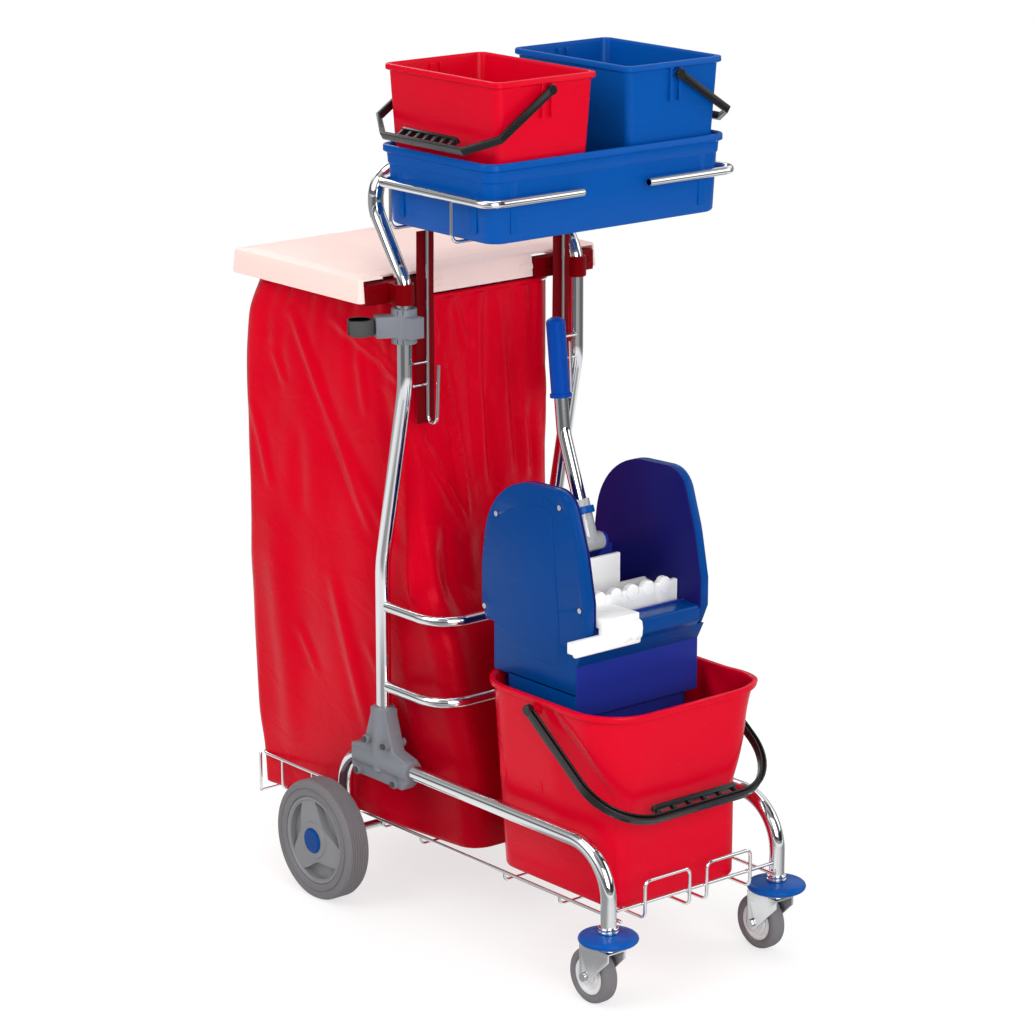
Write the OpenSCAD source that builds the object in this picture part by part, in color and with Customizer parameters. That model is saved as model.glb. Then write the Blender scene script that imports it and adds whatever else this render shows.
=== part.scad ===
// Janitor cart: a chromed tube chassis that carries a lidded waste bag, a mop bucket with a lever
// wringer, and a tray with two small pails. It stands with its wheels on Z = 0, its front at +X and
// its left side at +Y. Pieces that come in pairs are drawn on the left and mirrored to the right.

/* [Chassis] */
// Distance from the rear axle to the caster stems
wheelbase = 588; // [540:1:640]
// Distance between the centre planes of the two side frames
track = 314; // [300:1:340]
// Outer diameter of the main tubes
tube_d = 22; // [19:0.5:25]
// Wall of the main tubes
tube_wall = 1.5; // [1:0.1:2.5]
// Height of the side rails' centre line
rail_z = 225; // [215:1:245]
// Bend radius at the rear leg
rear_bend_r = 57; // [40:1:70]
// Bend radius at the front leg
front_bend_r = 72; // [40:1:80]
// Height of the open end of the front legs
leg_end_z = 112; // [108:1:118]

/* [Rear wheels] */
// Diameter of the rear wheels
rear_wheel_d = 180; // [170:1:200]
// Width of the rear tyres
rear_tyre_w = 38; // [30:1:44]
// Diameter of the rear axle
axle_d = 12; // [10:0.5:14]
// Length of the spacers between leg and wheel
spacer_l = 12.5; // [8:0.5:20]

/* [Casters] */
// Diameter of the caster wheels
caster_d = 80; // [70:1:84]
// Width of the caster tyres
caster_w = 24; // [18:1:28]
// Distance that the caster wheel trails behind its stem
caster_trail = 30; // [24:1:36]
// Diameter of the bumper discs
bumper_d = 84; // [70:1:100]
// Diameter of the caster stems
stem_d = 10; // [8:0.5:12]

/* [Handle] */
// Distance from the rear axle to the foot of the uprights
upright_x = 94; // [88:1:104]
// How far the uprights lean forward on their way up
upright_lean = 55; // [40:1:62]
// How far the handle is set back from the upper uprights
handle_setback = 62; // [50:1:68]
// Height of the push handle's centre line
handle_z = 1087; // [1075:1:1100]
// Bend radius at the corners of the push handle
handle_bend_r = 38; // [30:1:39]
// Diameter of the two cross bars
bar_d = 16; // [12:0.5:18]
// Distance from the uprights to the front of the cross bars
bar_reach = 134; // [120:1:140]
// Height of the lower cross bar
bar_low_z = 340; // [335:1:360]
// Height of the upper cross bar
bar_high_z = 460; // [440:1:480]

/* [Wires] */
// Diameter of the rack and support wires
wire_d = 5; // [4:0.5:6]
// Diameter of the tray rails
tray_rail_d = 12; // [10:0.5:14]
// Gap between the two open ends of the tray rails
tray_rail_gap = 118; // [80:1:160]
// Distance between the two hook wires
hook_spacing = 248; // [236:1:256]
// Height of the lowest point of the hooks
hook_low_z = 735; // [700:1:760]
// Height of the bag rack's fence
fence_h = 48; // [40:1:60]

/* [Tray] */
// Length of the tray's rim, front to back
tray_l = 244; // [234:1:256]
// Width of the tray's rim
tray_w = 428; // [418:1:436]
// Height of the tray
tray_h = 109; // [100:1:120]
// Height of the underside of the tray
tray_z = 1033; // [1029:1:1045]
// Distance from the rear axle to the tray's rear rim
tray_x = 163; // [160:1:175]
// Wall of the tray
tray_wall = 2.5; // [2:0.1:3.5]
// Corner radius of the tray's rim
tray_corner_r = 26; // [20:1:34]

/* [Pails] */
// Gap between the pails and the tray's rim, front and rear
pail_gap = 1.5; // [1:0.5:4]
// Width of a pail's rim
pail_w = 176; // [150:1:180]
// Height of a pail
pail_h = 214; // [190:1:240]
// Wall of a pail
pail_wall = 2.5; // [2:0.1:3.5]
// Corner radius of a pail's rim
pail_corner_r = 15; // [12:1:28]
// Distance from the middle of the cart to the middle of a pail
pail_y = 114; // [108:1:116]
// Distance from a pail's pivot to the far edge of its bail
pail_bail_reach = 141; // [136:1:150]

/* [Mop bucket] */
// Length of the bucket's rim, front to back
bucket_l = 302; // [290:1:312]
// Width of the bucket's rim
bucket_w = 304; // [294:1:312]
// Height of the bucket
bucket_h = 282; // [270:1:300]
// Distance from the rear axle to the bucket's rear rim
bucket_x = 279; // [272:1:290]
// Wall of the bucket
bucket_wall = 3; // [2.5:0.1:4]
// Distance from the bucket's pivot to the front of its bail
bucket_bail_reach = 222; // [216:1:230]

/* [Wringer] */
// Overall width across the two cheeks
wringer_w = 224; // [200:1:230]
// Thickness of a cheek housing
cheek_t = 14; // [12:0.5:18]
// Height of the top of the cheeks
cheek_top_z = 689; // [670:1:700]
// Height of the lever's shaft
shaft_z = 583; // [570:1:590]
// Diameter of the lever's shaft
shaft_d = 14; // [12:0.5:16]
// Pitch radius of the gear that drives the press plate
gear_r = 37; // [32:1:40]
// Number of teeth on that gear
gear_teeth = 24; // [18:1:30]
// Diameter of the lever tube
lever_d = 20; // [16:0.5:22]
// Length of the lever's grip
grip_l = 112; // [90:1:130]

/* [Bag and lid] */
// Depth of the bag from its hem to its base
bag_h = 786; // [740:1:800]
// Wall of the bag
bag_wall = 2; // [1.5:0.1:3]
// Length of the lid, front to back
lid_l = 304; // [290:1:316]
// Width of the lid
lid_w = 436; // [426:1:440]
// Height of the lid's skirt
lid_h = 34; // [31:1:38]
// Diameter of the lid's hinge pins
lid_pin_d = 6; // [5:0.5:8]
// Width of the hanging straps
strap_w = 30; // [24:1:31]

/* [Mop holder] */
// Diameter of the mop handle that the clip holds
mop_handle_d = 25; // [22:0.5:28]
// Height of the clip's middle
clip_z = 878; // [870:1:882]
// Distance from the upright to the clip
clip_reach = 62; // [56:1:72]

/* [Fits] */
// Gap between pieces that only touch
seat = 0.3; // [0.2:0.05:0.5]
// Radial clearance of pins and shafts that turn
running_fit = 0.05; // [0.03:0.01:0.08]

/* [Hidden] */
$fn = 48;

// Colours
chrome = "#c9ced3";
red = "#d80a28";
blue = "#0d55a3";
grey = "#84878d";
black = "#2e2e30";
white = "#f1f1ee";
pale = "#fbe3da";

// How far a straight tube laps into a bend, and how much thinner it is there
weld_lap = 0.6;
weld_step = 0.04;
// Thickness of the slices that a tapered shell is stretched between
slice = 0.1;

// Chassis
half_track = track / 2;
axle_z = rear_wheel_d / 2;
leg_in = half_track - tube_d / 2;
leg_out = half_track + tube_d / 2;
wheel_in = leg_out + spacer_l + 2 * seat;
wheel_out = wheel_in + rear_tyre_w;
cap_proud = 2.5;
fence_x = 213;
mid_x = (wheelbase + bumper_d / 2 - fence_x - wire_d / 2) / 2;

// Uprights and handle
upper_x = upright_x + upright_lean;
handle_x = upper_x - handle_setback;
lean_from_z = 520;
lean_to_z = 790;
neck_z = 940;
neck_bend_r = 60;
crook_z = handle_z - handle_bend_r - 17;

// Base rack
rack_top_z = 120;
hairpin_z = rack_top_z - seat - wire_d / 2;
rung_z = hairpin_z - wire_d - seat;
side_wire_y = leg_in - seat - wire_d / 2;
side_wire_z = leg_end_z + 10 + wire_d / 2;
hairpin_ys = [16, 98];
stop_h = 54;
stop_x = wheelbase + wire_d * 1.5 + seat;

// Tray and its supports
tray_mid_x = tray_x + tray_l / 2;
tray_taper = 7;
tray_lip_h = 10;
tray_lip = 4;
support_z = tray_z - seat - wire_d / 2;
hanger_z = support_z - wire_d - 0.2;
tray_rail_z = tray_z + 58;
tray_rail_y = tray_w / 2 + seat + tray_rail_d / 2 + 0.7;
tray_rail_x = tray_x + tray_l + seat + tray_rail_d / 2 + 0.7;
support_xs = [tray_x + 40, tray_x + 172];
hook_y = hook_spacing / 2;
hook_x = upper_x + 10;

// Pails
pail_z = tray_z + tray_wall + seat;
pail_taper = 11;
pail_lip = 4;
pail_lip_h = 8;
// The pails fill the tray's rim, so they are sized from it at the height where they leave it
pail_leaves = (tray_h - tray_wall - seat) / pail_h;
pail_l = tray_l - 2 * (tray_lip + tray_wall + pail_gap) + 2 * pail_taper * (1 - pail_leaves) + 2 * pail_lip;
pail_pivot_d = 10;
pail_pivot_drop = 16;
pail_pivot_z = pail_z + pail_h - pail_pivot_drop;
pail_bail_d = 8;
pail_bail_x = pail_l / 2 + 2 + pail_bail_d / 2;
pail_bail_tilt = 33;

// Mop bucket
bucket_z = rack_top_z;
bucket_rim_z = bucket_z + bucket_h;
bucket_mid_x = bucket_x + bucket_l / 2;
bucket_lip = 6;
bucket_lip_h = 8;
bucket_waist_z = 140;
ledge_z = 300;
bucket_pivot_x = bucket_mid_x - 9;
bucket_pivot_z = bucket_rim_z - 17;
bucket_pivot_d = 12;
bucket_bail_d = 11;
bucket_bail_y = bucket_w / 2 + 1.5 + bucket_bail_d / 2;
bucket_bail_tilt = 35.7;

// Wringer
cheek_out = wringer_w / 2;
cheek_in = cheek_out - cheek_t;
cheek_wall = 3;
body_wall = 4;
body_rear_x = bucket_x + 20;
body_front_x = body_rear_x + 158;
body_z = ledge_z + seat;
cheek_rear_x = bucket_x - 17;
cheek_front_x = body_front_x + 31;
cheek_low_z = cheek_top_z - 217;
shaft_x = bucket_x + 84;
sleeve_d = shaft_d + 12;
sleeve_from = -45;
sleeve_to = 20;
rib_t = 6;
gear_w = 5;
gear_y = cheek_in + 1;
rack_z = shaft_z + gear_r;
press_x = shaft_x + 12;
press_t = 6;
front_press_x = body_front_x - 18;
lever_rise = [-56, 0, 148];
lever_bend = [shaft_x, 0, shaft_z] + lever_rise;
lever_end = [shaft_x - 74, 0, shaft_z + 300];
lever_dir = lever_rise / norm(lever_rise);
socket_l = 44;

// Bag, ring, lid and brackets
bag_top_z = rack_top_z - 5 + bag_h;
ring_z = bag_top_z + seat + wire_d / 2 + 0.5;
ring_d = wire_d + 1;
bracket_z = ring_z + ring_d / 2 + seat;
bracket_h = lid_h - 4;
lid_z = bracket_z + 4;
hinge_z = lid_z + 14;
hinge_x = upper_x - 29;
lid_front_x = hinge_x + 8;
lid_wall = 3;
lid_tongue = 94;
lid_notch_x = hinge_x - 18.5;
lid_notch_y = lid_w / 2 - 9;
bracket_x = hinge_x - 8;
bracket_front_x = hinge_x + 10;

// Mop holder
collar_d = tube_d + 14;
collar_h = 50;
clip_turn = 28;
clip_d = mop_handle_d + 15;
clip_h = 22;

// Straight lines, bends and frames of reference

function unit(v) = v / norm(v);

function square_to(v) = abs(unit(v)[2]) < 0.9 ? [0, 0, 1] : [1, 0, 0];

function setback(p, i, r) =
    let (u = unit(p[i - 1] - p[i]), v = unit(p[i + 1] - p[i])) r / tan(acos(u * v) / 2);

function flip(p) = [for (q = p) [q[0], -q[1], q[2]]];

function backwards(p) = [for (i = [len(p) - 1 : -1 : 0]) p[i]];

// Turns +Z to the direction z, with +X as near to x as it can be
module aim(z, x) {
    w = unit(z);
    u = unit(x - (x * w) * w);
    v = cross(w, u);
    multmatrix([[u[0], v[0], w[0], 0], [u[1], v[1], w[1], 0], [u[2], v[2], w[2], 0], [0, 0, 0, 1]])
        children();
}

module tube_section(d, wall) {
    difference() {
        circle(d = d);
        if (wall > 0)
            circle(d = d - 2 * wall);
    }
}

// A round bar, or a tube where it has a wall, along points p with bend radii r at the inner points
module bent_tube(p, r, d, wall = 0) {
    last = len(p) - 1;
    for (i = [0 : last - 1]) {
        w = unit(p[i + 1] - p[i]);
        a = i == 0 ? p[0] : p[i] + w * (setback(p, i, r[i]) - weld_lap);
        b = i == last - 1 ? p[last] : p[i + 1] - w * (setback(p, i + 1, r[i + 1]) - weld_lap);
        translate(a) aim(w, square_to(w)) linear_extrude(norm(b - a))
            tube_section(d - 2 * weld_step, wall > 0 ? wall - 2 * weld_step : 0);
    }
    for (i = [1 : 1 : last - 1]) {
        u = unit(p[i - 1] - p[i]);
        v = unit(p[i + 1] - p[i]);
        half = acos(u * v) / 2;
        centre = p[i] + unit(u + v) * r[i] / sin(half);
        start = p[i] + u * r[i] / tan(half);
        translate(centre) aim(cross(start - centre, -u), start - centre)
            rotate_extrude(angle = 180 - 2 * half) translate([r[i], 0]) tube_section(d, wall);
    }
}

module wire(p, r) bent_tube(p, r, wire_d);

// Moves a piece from the rear axle's frame to the part's own frame
module placed() translate([-mid_x, 0, 0]) children();

module left() placed() children();

module right() placed() mirror([0, 1, 0]) children();

module both_sides() {
    children();
    mirror([0, 1, 0]) children();
}

module along_x(p, d, l) translate(p) rotate([0, 90, 0]) cylinder(d = d, h = l);

module along_y(p, d, l) translate(p) rotate([-90, 0, 0]) cylinder(d = d, h = l);

module rounded_rect(l, w, r) {
    square([l - 2 * r, w], center = true);
    square([l, w - 2 * r], center = true);
    for (x = [-1, 1], y = [-1, 1])
        translate([x * (l / 2 - r), y * (w / 2 - r)]) circle(r = r);
}

// A solid that widens from the outline low = [l, w, r] to the outline high over the height h
module flared(low, high, h) {
    hull() {
        linear_extrude(slice) rounded_rect(low[0], low[1], low[2], $fn = 32);
        translate([0, 0, h - slice]) linear_extrude(slice)
            rounded_rect(high[0], high[1], high[2], $fn = 32);
    }
}

// Chassis tubes

// The line of a side rail as a rod or tube
module rail_line(d, wall = 0) {
    points = [[0, half_track, axle_z - 14], [0, half_track, rail_z],
        [wheelbase, half_track, rail_z], [wheelbase, half_track, leg_end_z]];
    bent_tube(points, [0, rear_bend_r, front_bend_r, 0], d, wall);
}

module side_rail() {
    difference() {
        rail_line(tube_d, tube_wall);
        along_y([0, half_track - tube_d, axle_z], axle_d + 4 * running_fit, 2 * tube_d);
    }
}

module side_rail_left() color(chrome) left() side_rail();

module side_rail_right() color(chrome) right() side_rail();

module handle_frame() {
    foot_z = rail_z + tube_d / 2 + seat;
    upright = [[upright_x, half_track, foot_z], [upright_x, half_track, lean_from_z],
        [upper_x, half_track, lean_to_z], [upper_x, half_track, neck_z],
        [handle_x, half_track, crook_z], [handle_x, half_track, handle_z]];
    bends = [0, 200, 150, neck_bend_r, 40, handle_bend_r];
    color(chrome) placed()
        bent_tube(concat(upright, backwards(flip(upright))), concat(bends, backwards(bends)),
            tube_d, tube_wall);
}

// Gusset that joins an upright to its side rail, split on the frame's centre plane
connector_t = tube_d / 2 + 6;
connector_top_z = rail_z + 84;
connector_half_l = 67;
connector_screw_d = 5;
connector_screws_at = [[-22, 31], [22, 31], [-43, -21], [43, -21]];

module connector_outline() {
    sleeve = tube_d / 2 + 6;
    polygon([[-connector_half_l, -sleeve], [-54, -sleeve - 12], [54, -sleeve - 12],
        [connector_half_l, -sleeve], [connector_half_l, sleeve], [34, sleeve + 6],
        [sleeve + 2, connector_top_z - rail_z - 12], [sleeve + 2, connector_top_z - rail_z],
        [-sleeve - 2, connector_top_z - rail_z], [-sleeve - 2, connector_top_z - rail_z - 12],
        [-34, sleeve + 6], [-connector_half_l, sleeve]]);
}

// One half: its flat back is on Y = 0 and it grows to +Y, with X and Z from the crossing of the tubes
module connector_half() {
    grip = 2 * seat;
    difference() {
        union() {
            translate([0, connector_t, 0]) rotate([90, 0, 0]) linear_extrude(connector_t - seat / 2)
                connector_outline();
            for (at = connector_screws_at)
                along_y([at[0], connector_t - 1, at[1]], 13, 3);
        }
        translate([-upright_x, -half_track, -rail_z]) rail_line(tube_d + grip);
        cylinder(d = tube_d + grip, h = connector_top_z);
        for (at = connector_screws_at)
            along_y([at[0], -1, at[1]], connector_screw_d + grip, connector_t + 4);
    }
}

module connector_outer() translate([upright_x, half_track, rail_z]) connector_half();

module connector_inner() translate([upright_x, half_track, rail_z]) mirror([0, 1, 0]) connector_half();

module connector_outer_left() color(grey) left() connector_outer();

module connector_outer_right() color(grey) right() connector_outer();

module connector_inner_left() color(grey) left() connector_inner();

module connector_inner_right() color(grey) right() connector_inner();

module connector_screws() {
    reach = connector_t + 2;
    color(chrome) placed() both_sides()
        for (at = connector_screws_at)
            translate([upright_x + at[0], half_track, rail_z + at[1]]) {
                along_y([0, -reach, 0], connector_screw_d, 2 * reach + 1);
                along_y([0, reach + seat, 0], connector_screw_d * 1.8, 2.4);
            }
}

// A U bar that runs forward from the two uprights and across behind the wringer
module cross_bar(z) {
    start_x = upright_x + tube_d / 2 + seat;
    side = [[start_x, half_track, z], [upright_x + bar_reach, half_track, z]];
    color(chrome) placed()
        bent_tube(concat(side, backwards(flip(side))), [0, 50, 50, 0], bar_d, tube_wall);
}

module cross_bar_upper() cross_bar(bar_high_z);

module cross_bar_lower() cross_bar(bar_low_z);

// Tray supports

module tray_rail() {
    start_x = handle_x + tube_d / 2 + seat;
    weld_y = half_track - handle_bend_r - 12;
    points = [[start_x, weld_y, handle_z], [start_x + 30, weld_y, tray_rail_z],
        [tray_x + 12, tray_rail_y, tray_rail_z], [tray_rail_x, tray_rail_y, tray_rail_z],
        [tray_rail_x, tray_rail_gap / 2, tray_rail_z]];
    bent_tube(points, [0, 20, 30, 22, 0], tray_rail_d, tube_wall);
}

module tray_rail_left() color(chrome) left() tray_rail();

module tray_rail_right() color(chrome) right() tray_rail();

// Two wires that hang from the rails and pass under the tray
module tray_wires() {
    top_z = tray_rail_z - tray_rail_d / 2 - seat;
    color(chrome) placed()
        for (x = support_xs) {
            side = [[x, tray_rail_y, top_z], [x, tray_rail_y, support_z]];
            wire(concat(side, backwards(flip(side))), [0, 12, 12, 0]);
        }
}

// Wires under the tray that turn down in front of the bag and end in open hooks
module tray_hook() {
    opening = 20;
    back = hook_low_z + wire_d / 2;
    wire([[support_xs[1] + 8, hook_y, hanger_z], [hook_x, hook_y, hanger_z],
        [hook_x, hook_y, back], [hook_x + opening, hook_y, back],
        [hook_x + opening, hook_y - 4, back + 84]], [0, 12, 9, 9, 0]);
    brace_d = wire_d - 1;
    brace_in = hook_x - upper_x - brace_d / 2;
    brace_l = half_track - hook_y - sqrt(pow(tube_d / 2, 2) - pow(brace_in, 2)) - seat;
    for (z = [back + 54, back + 86])
        along_y([hook_x, hook_y, z], brace_d, brace_l);
}

module tray_hooks() color(chrome) placed() both_sides() tray_hook();

// Wire racks at the base

// Side wires, front wire, rungs and two hairpins that end in raised stops for the bucket
module bucket_rack() {
    rungs = [70, 160, bucket_x + 70, bucket_x + 190];
    front_wire_z = hairpin_z + 21;
    thin = wire_d - 0.6;
    color(chrome) placed() {
        both_sides() {
            along_x([-tube_d / 2, side_wire_y, side_wire_z], wire_d, wheelbase + tube_d);
            wire([[bucket_x + 50, hairpin_ys[1], hairpin_z], [stop_x, hairpin_ys[1], hairpin_z],
                [stop_x, hairpin_ys[1], hairpin_z + stop_h],
                [stop_x, hairpin_ys[0], hairpin_z + stop_h], [stop_x, hairpin_ys[0], hairpin_z],
                [bucket_x + 50, hairpin_ys[0], hairpin_z]], [0, 9, 9, 9, 9, 0]);
        }
        along_y([wheelbase + wire_d / 2 + 0.5, -leg_in + seat, front_wire_z], wire_d,
            2 * (leg_in - seat));
        for (y = concat(hairpin_ys, -hairpin_ys))
            along_x([wheelbase, y, front_wire_z], thin, stop_x - wheelbase);
        for (x = rungs) {
            side = [[x, side_wire_y, side_wire_z], [x, side_wire_y, rung_z]];
            bent_tube(concat(side, backwards(flip(side))), [0, 8, 8, 0], thin);
        }
        for (y = concat(hairpin_ys, -hairpin_ys), x = [rungs[2], rungs[3]])
            translate([x, y, rung_z]) cylinder(d = thin - 1, h = hairpin_z - rung_z);
    }
}

// A fence round the rear of the bag, with U wires that pass under it
module bag_rack() {
    fence_y = half_track;
    fence_z = rung_z + fence_h;
    thin = wire_d - 0.6;
    rail = [[-tube_d / 2 - seat, fence_y, fence_z], [-fence_x, fence_y, fence_z]];
    color(chrome) placed() {
        wire(concat(rail, backwards(flip(rail))), [0, 20, 20, 0]);
        for (x = [-82, -157]) {
            side = [[x, fence_y, fence_z], [x, fence_y, rung_z]];
            bent_tube(concat(side, backwards(flip(side))), [0, 10, 10, 0], thin);
        }
        rear = [[-fence_x, fence_y - 40, fence_z], [-fence_x, fence_y - 40, rung_z]];
        bent_tube(concat(rear, backwards(flip(rear))), [0, 10, 10, 0], thin);
        for (y = [-60, 60])
            along_x([-fence_x, y, rung_z], thin - 0.6, fence_x - 82);
    }
}

// Rear axle and wheels

module rear_axle() {
    reach = wheel_out - 8;
    color(chrome) placed() along_y([0, -reach, axle_z], axle_d, 2 * reach);
}

module axle_spacers() {
    color(grey) placed() both_sides() difference() {
        along_y([0, leg_out + seat, axle_z], axle_d + 8, spacer_l);
        along_y([0, leg_out - 1, axle_z], axle_d + 4 * running_fit, spacer_l + 4);
    }
}

tyre_depth = 24;
rim_r = rear_wheel_d / 2 - tyre_depth;
hub_cap_d = 38;
pocket_depth = 5;

// Places a turned profile, drawn with its axis up, on the rear axle
module on_axle() translate([0, wheel_in, axle_z]) rotate([-90, 0, 0]) children();

module rear_tyre() {
    r = rear_wheel_d / 2;
    w = rear_tyre_w;
    round_r = 7;
    on_axle() rotate_extrude() difference() {
        union() {
            translate([rim_r, 0]) square([tyre_depth - round_r, w]);
            translate([rim_r, round_r]) square([tyre_depth, w - 2 * round_r]);
            for (z = [round_r, w - round_r])
                translate([r - round_r, z]) circle(r = round_r);
        }
        translate([rim_r + 9, w]) circle(r = 2);
        for (z = [w / 2 - 6, w / 2 + 6])
            translate([r, z]) circle(r = 1.6);
    }
}

// Three crescents between two circles of unlike centres, cut off at both ends
module wheel_pockets() {
    outer_r = rim_r - 9;
    for (turn = [90, 210, 330])
        rotate([0, 0, turn]) intersection() {
            difference() {
                circle(r = outer_r);
                translate([-11, 0]) circle(r = outer_r - 6);
            }
            polygon([[0, 0], [2 * outer_r, -1.2 * outer_r], [2 * outer_r, 1.2 * outer_r]]);
        }
}

module rear_wheel() {
    w = rear_tyre_w;
    r = rim_r - seat;
    recess = 6;
    on_axle() difference() {
        rotate_extrude() difference() {
            polygon([[0, 0], [24, 0], [24, 12], [r - 8, 18], [r - 8, 2], [r, 2], [r, w - 3],
                [r - 4, w - 4], [28, w - 2], [28, w], [0, w]]);
            square([axle_d / 2 + running_fit, w]);
            translate([0, w - recess]) square([15.1, recess]);
        }
        translate([0, 0, w - 4 - pocket_depth]) linear_extrude(pocket_depth + 4) wheel_pockets();
    }
}

module hub_cap() {
    w = rear_tyre_w;
    on_axle() rotate_extrude()
        polygon([[0, w - 5], [15, w - 5], [15, w + seat / 3], [hub_cap_d / 2, w + seat / 3],
            [hub_cap_d / 2, w + 1.2], [hub_cap_d / 2 - 3, w + cap_proud], [0, w + cap_proud]]);
}

module rear_tyre_left() color(grey) left() rear_tyre();

module rear_tyre_right() color(grey) right() rear_tyre();

module rear_wheel_left() color(grey) left() rear_wheel();

module rear_wheel_right() color(grey) right() rear_wheel();

module hub_cap_left() color(blue) left() hub_cap();

module hub_cap_right() color(blue) right() hub_cap();

// Casters

crown_z = caster_d + 4;
head_top_z = crown_z + 12;
disc_z = head_top_z + 0.6;
fork_in = caster_w / 2 + 2;
fork_t = 3;

module at_stem() translate([wheelbase, half_track, 0]) children();

module at_caster() at_stem() translate([-caster_trail, 0, caster_d / 2]) children();

module caster_stem() {
    plug_d = tube_d - 2 * tube_wall - 2 * seat;
    at_stem() {
        translate([0, 0, crown_z - 4.6]) cylinder(d = stem_d + 6, h = 4.3);
        translate([0, 0, crown_z - 1]) cylinder(d = stem_d, h = leg_end_z - crown_z + 3);
        translate([0, 0, leg_end_z + seat]) cylinder(d = plug_d, h = 44);
    }
}

module caster_stems() color(chrome) placed() both_sides() caster_stem();

module bumper() {
    r = bumper_d / 2;
    edge = 5;
    floor_z = leg_end_z - seat;
    top_z = leg_end_z + 7;
    at_stem() rotate_extrude() difference() {
        union() {
            polygon([[stem_d / 2 + 0.4, disc_z], [r - edge, disc_z], [r - edge, disc_z + 2 * edge],
                [tube_d / 2 + 10, disc_z + 2 * edge + 1], [tube_d / 2 + 5, top_z],
                [stem_d / 2 + 0.4, top_z]]);
            translate([r - edge, disc_z + edge]) circle(r = edge);
        }
        translate([0, floor_z]) square([tube_d / 2 + seat, top_z]);
    }
}

module bumper_left() color(blue) left() bumper();

module bumper_right() color(blue) right() bumper();

module caster_fork() {
    r = caster_d / 2;
    difference() {
        union() {
            at_stem() translate([0, 0, crown_z + 2]) cylinder(d = 34, h = head_top_z - crown_z - 2);
            at_stem() translate([-caster_trail - 12, -fork_in - fork_t, crown_z])
                cube([caster_trail + 30, 2 * (fork_in + fork_t), 3]);
            for (y = [-fork_in - fork_t, fork_in])
                at_stem() translate([0, y + fork_t, 0]) rotate([90, 0, 0]) linear_extrude(fork_t) {
                    polygon([[-caster_trail - 12, crown_z + 3], [18, crown_z + 3], [18, crown_z - 10],
                        [-caster_trail + 10, r - 4], [-caster_trail - 10, r - 4]]);
                    translate([-caster_trail, r]) circle(r = 11);
                }
        }
        at_stem() cylinder(d = stem_d + 2 * running_fit, h = 3 * crown_z);
        at_caster() along_y([0, -2 * caster_w, 0], 6.2, 4 * caster_w);
    }
}

module caster_fork_left() color(chrome) left() caster_fork();

module caster_fork_right() color(chrome) right() caster_fork();

module caster_axle() {
    reach = fork_in + fork_t;
    at_caster() {
        along_y([0, -reach - 4, 0], 6, 2 * reach + 5);
        along_y([0, reach + seat, 0], 12, 4);
        along_y([0, -reach - seat - 4.5, 0], 11.5, 4.5, $fn = 6);
    }
}

module caster_axle_left() color(chrome) left() caster_axle();

module caster_axle_right() color(chrome) right() caster_axle();

caster_rim_r = caster_d / 2 - 13;

module on_caster() at_caster() translate([0, -caster_w / 2, 0]) rotate([-90, 0, 0]) children();

module caster_wheel() {
    w = caster_w;
    on_caster() rotate_extrude()
        polygon([[3 + running_fit, -1.6], [9, -1.6], [9, 4], [caster_rim_r - 5, 7],
            [caster_rim_r - 5, 2.5], [caster_rim_r - seat / 2, 2.5], [caster_rim_r - seat / 2, w - 2.5],
            [caster_rim_r - 5, w - 2.5], [caster_rim_r - 5, w - 7], [9, w - 4], [9, w + 1.6],
            [3 + running_fit, w + 1.6]]);
}

module caster_tyre() {
    w = caster_w;
    r = caster_d / 2;
    round_r = 6;
    on_caster() rotate_extrude() {
        translate([caster_rim_r, 0]) square([r - round_r - caster_rim_r, w]);
        translate([caster_rim_r, round_r]) square([r - caster_rim_r, w - 2 * round_r]);
        for (z = [round_r, w - round_r])
            translate([r - round_r, z]) circle(r = round_r);
    }
}

module caster_wheel_left() color(white) left() caster_wheel();

module caster_wheel_right() color(white) right() caster_wheel();

module caster_tyre_left() color(grey) left() caster_tyre();

module caster_tyre_right() color(grey) right() caster_tyre();

// Bag, ring, straps and lid

bag_front_top = hinge_x + 6;
bag_y_top = lid_w / 2 - 20;
bag_front_y = hook_y + 12;
bag_low_front_x = bar_reach + upright_x - bar_d / 2 - 10;
bag_low_y = half_track - 7;
// Height, rear X, front X, rear half width and front half width of the bag at each level
bag_levels = [
    [bag_top_z, -158, bag_front_top, bag_y_top, bag_front_y],
    [bag_top_z - 110, -180, bag_front_top + 2, bag_y_top - 2, bag_front_y],
    [bag_top_z - 260, -194, bag_front_top + 8, bag_y_top - 6, bag_front_y - 2],
    [bar_high_z + 20, -196, upright_x + 46, bag_y_top - 14, bag_front_y - 8],
    [bar_low_z + 80, -197, bag_low_front_x - 28, bag_y_top - 28, bag_front_y - 12],
    [bar_low_z - 30, -198, bag_low_front_x, bag_low_y + 3, bag_front_y - 18],
    [rail_z, -200, bag_low_front_x + 18, bag_low_y, bag_front_y - 24],
    [bag_top_z - bag_h, -197, bag_low_front_x + 26, bag_low_y - 3, bag_front_y - 28]
];
bag_corner_r = 34;
corner_steps = 4;

// Corner points of a level as a ring with round corners, drawn in by the amount inset
function bag_ring_points(level, inset) =
    let (z = level[0], x0 = level[1] + inset, x1 = level[2] - inset, y0 = level[3] - inset,
        y1 = level[4] - inset, r = bag_corner_r - inset / 2)
    [for (c = [[x1, y1, 0], [x0, y0, 90], [x0, -y0, 180], [x1, -y1, 270]], k = [0 : corner_steps])
        let (a = c[2] + 90 * k / corner_steps)
        [c[0] + r * (cos(a) - sign(c[0])), c[1] + r * (sin(a) - sign(c[1])), z]];

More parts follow.
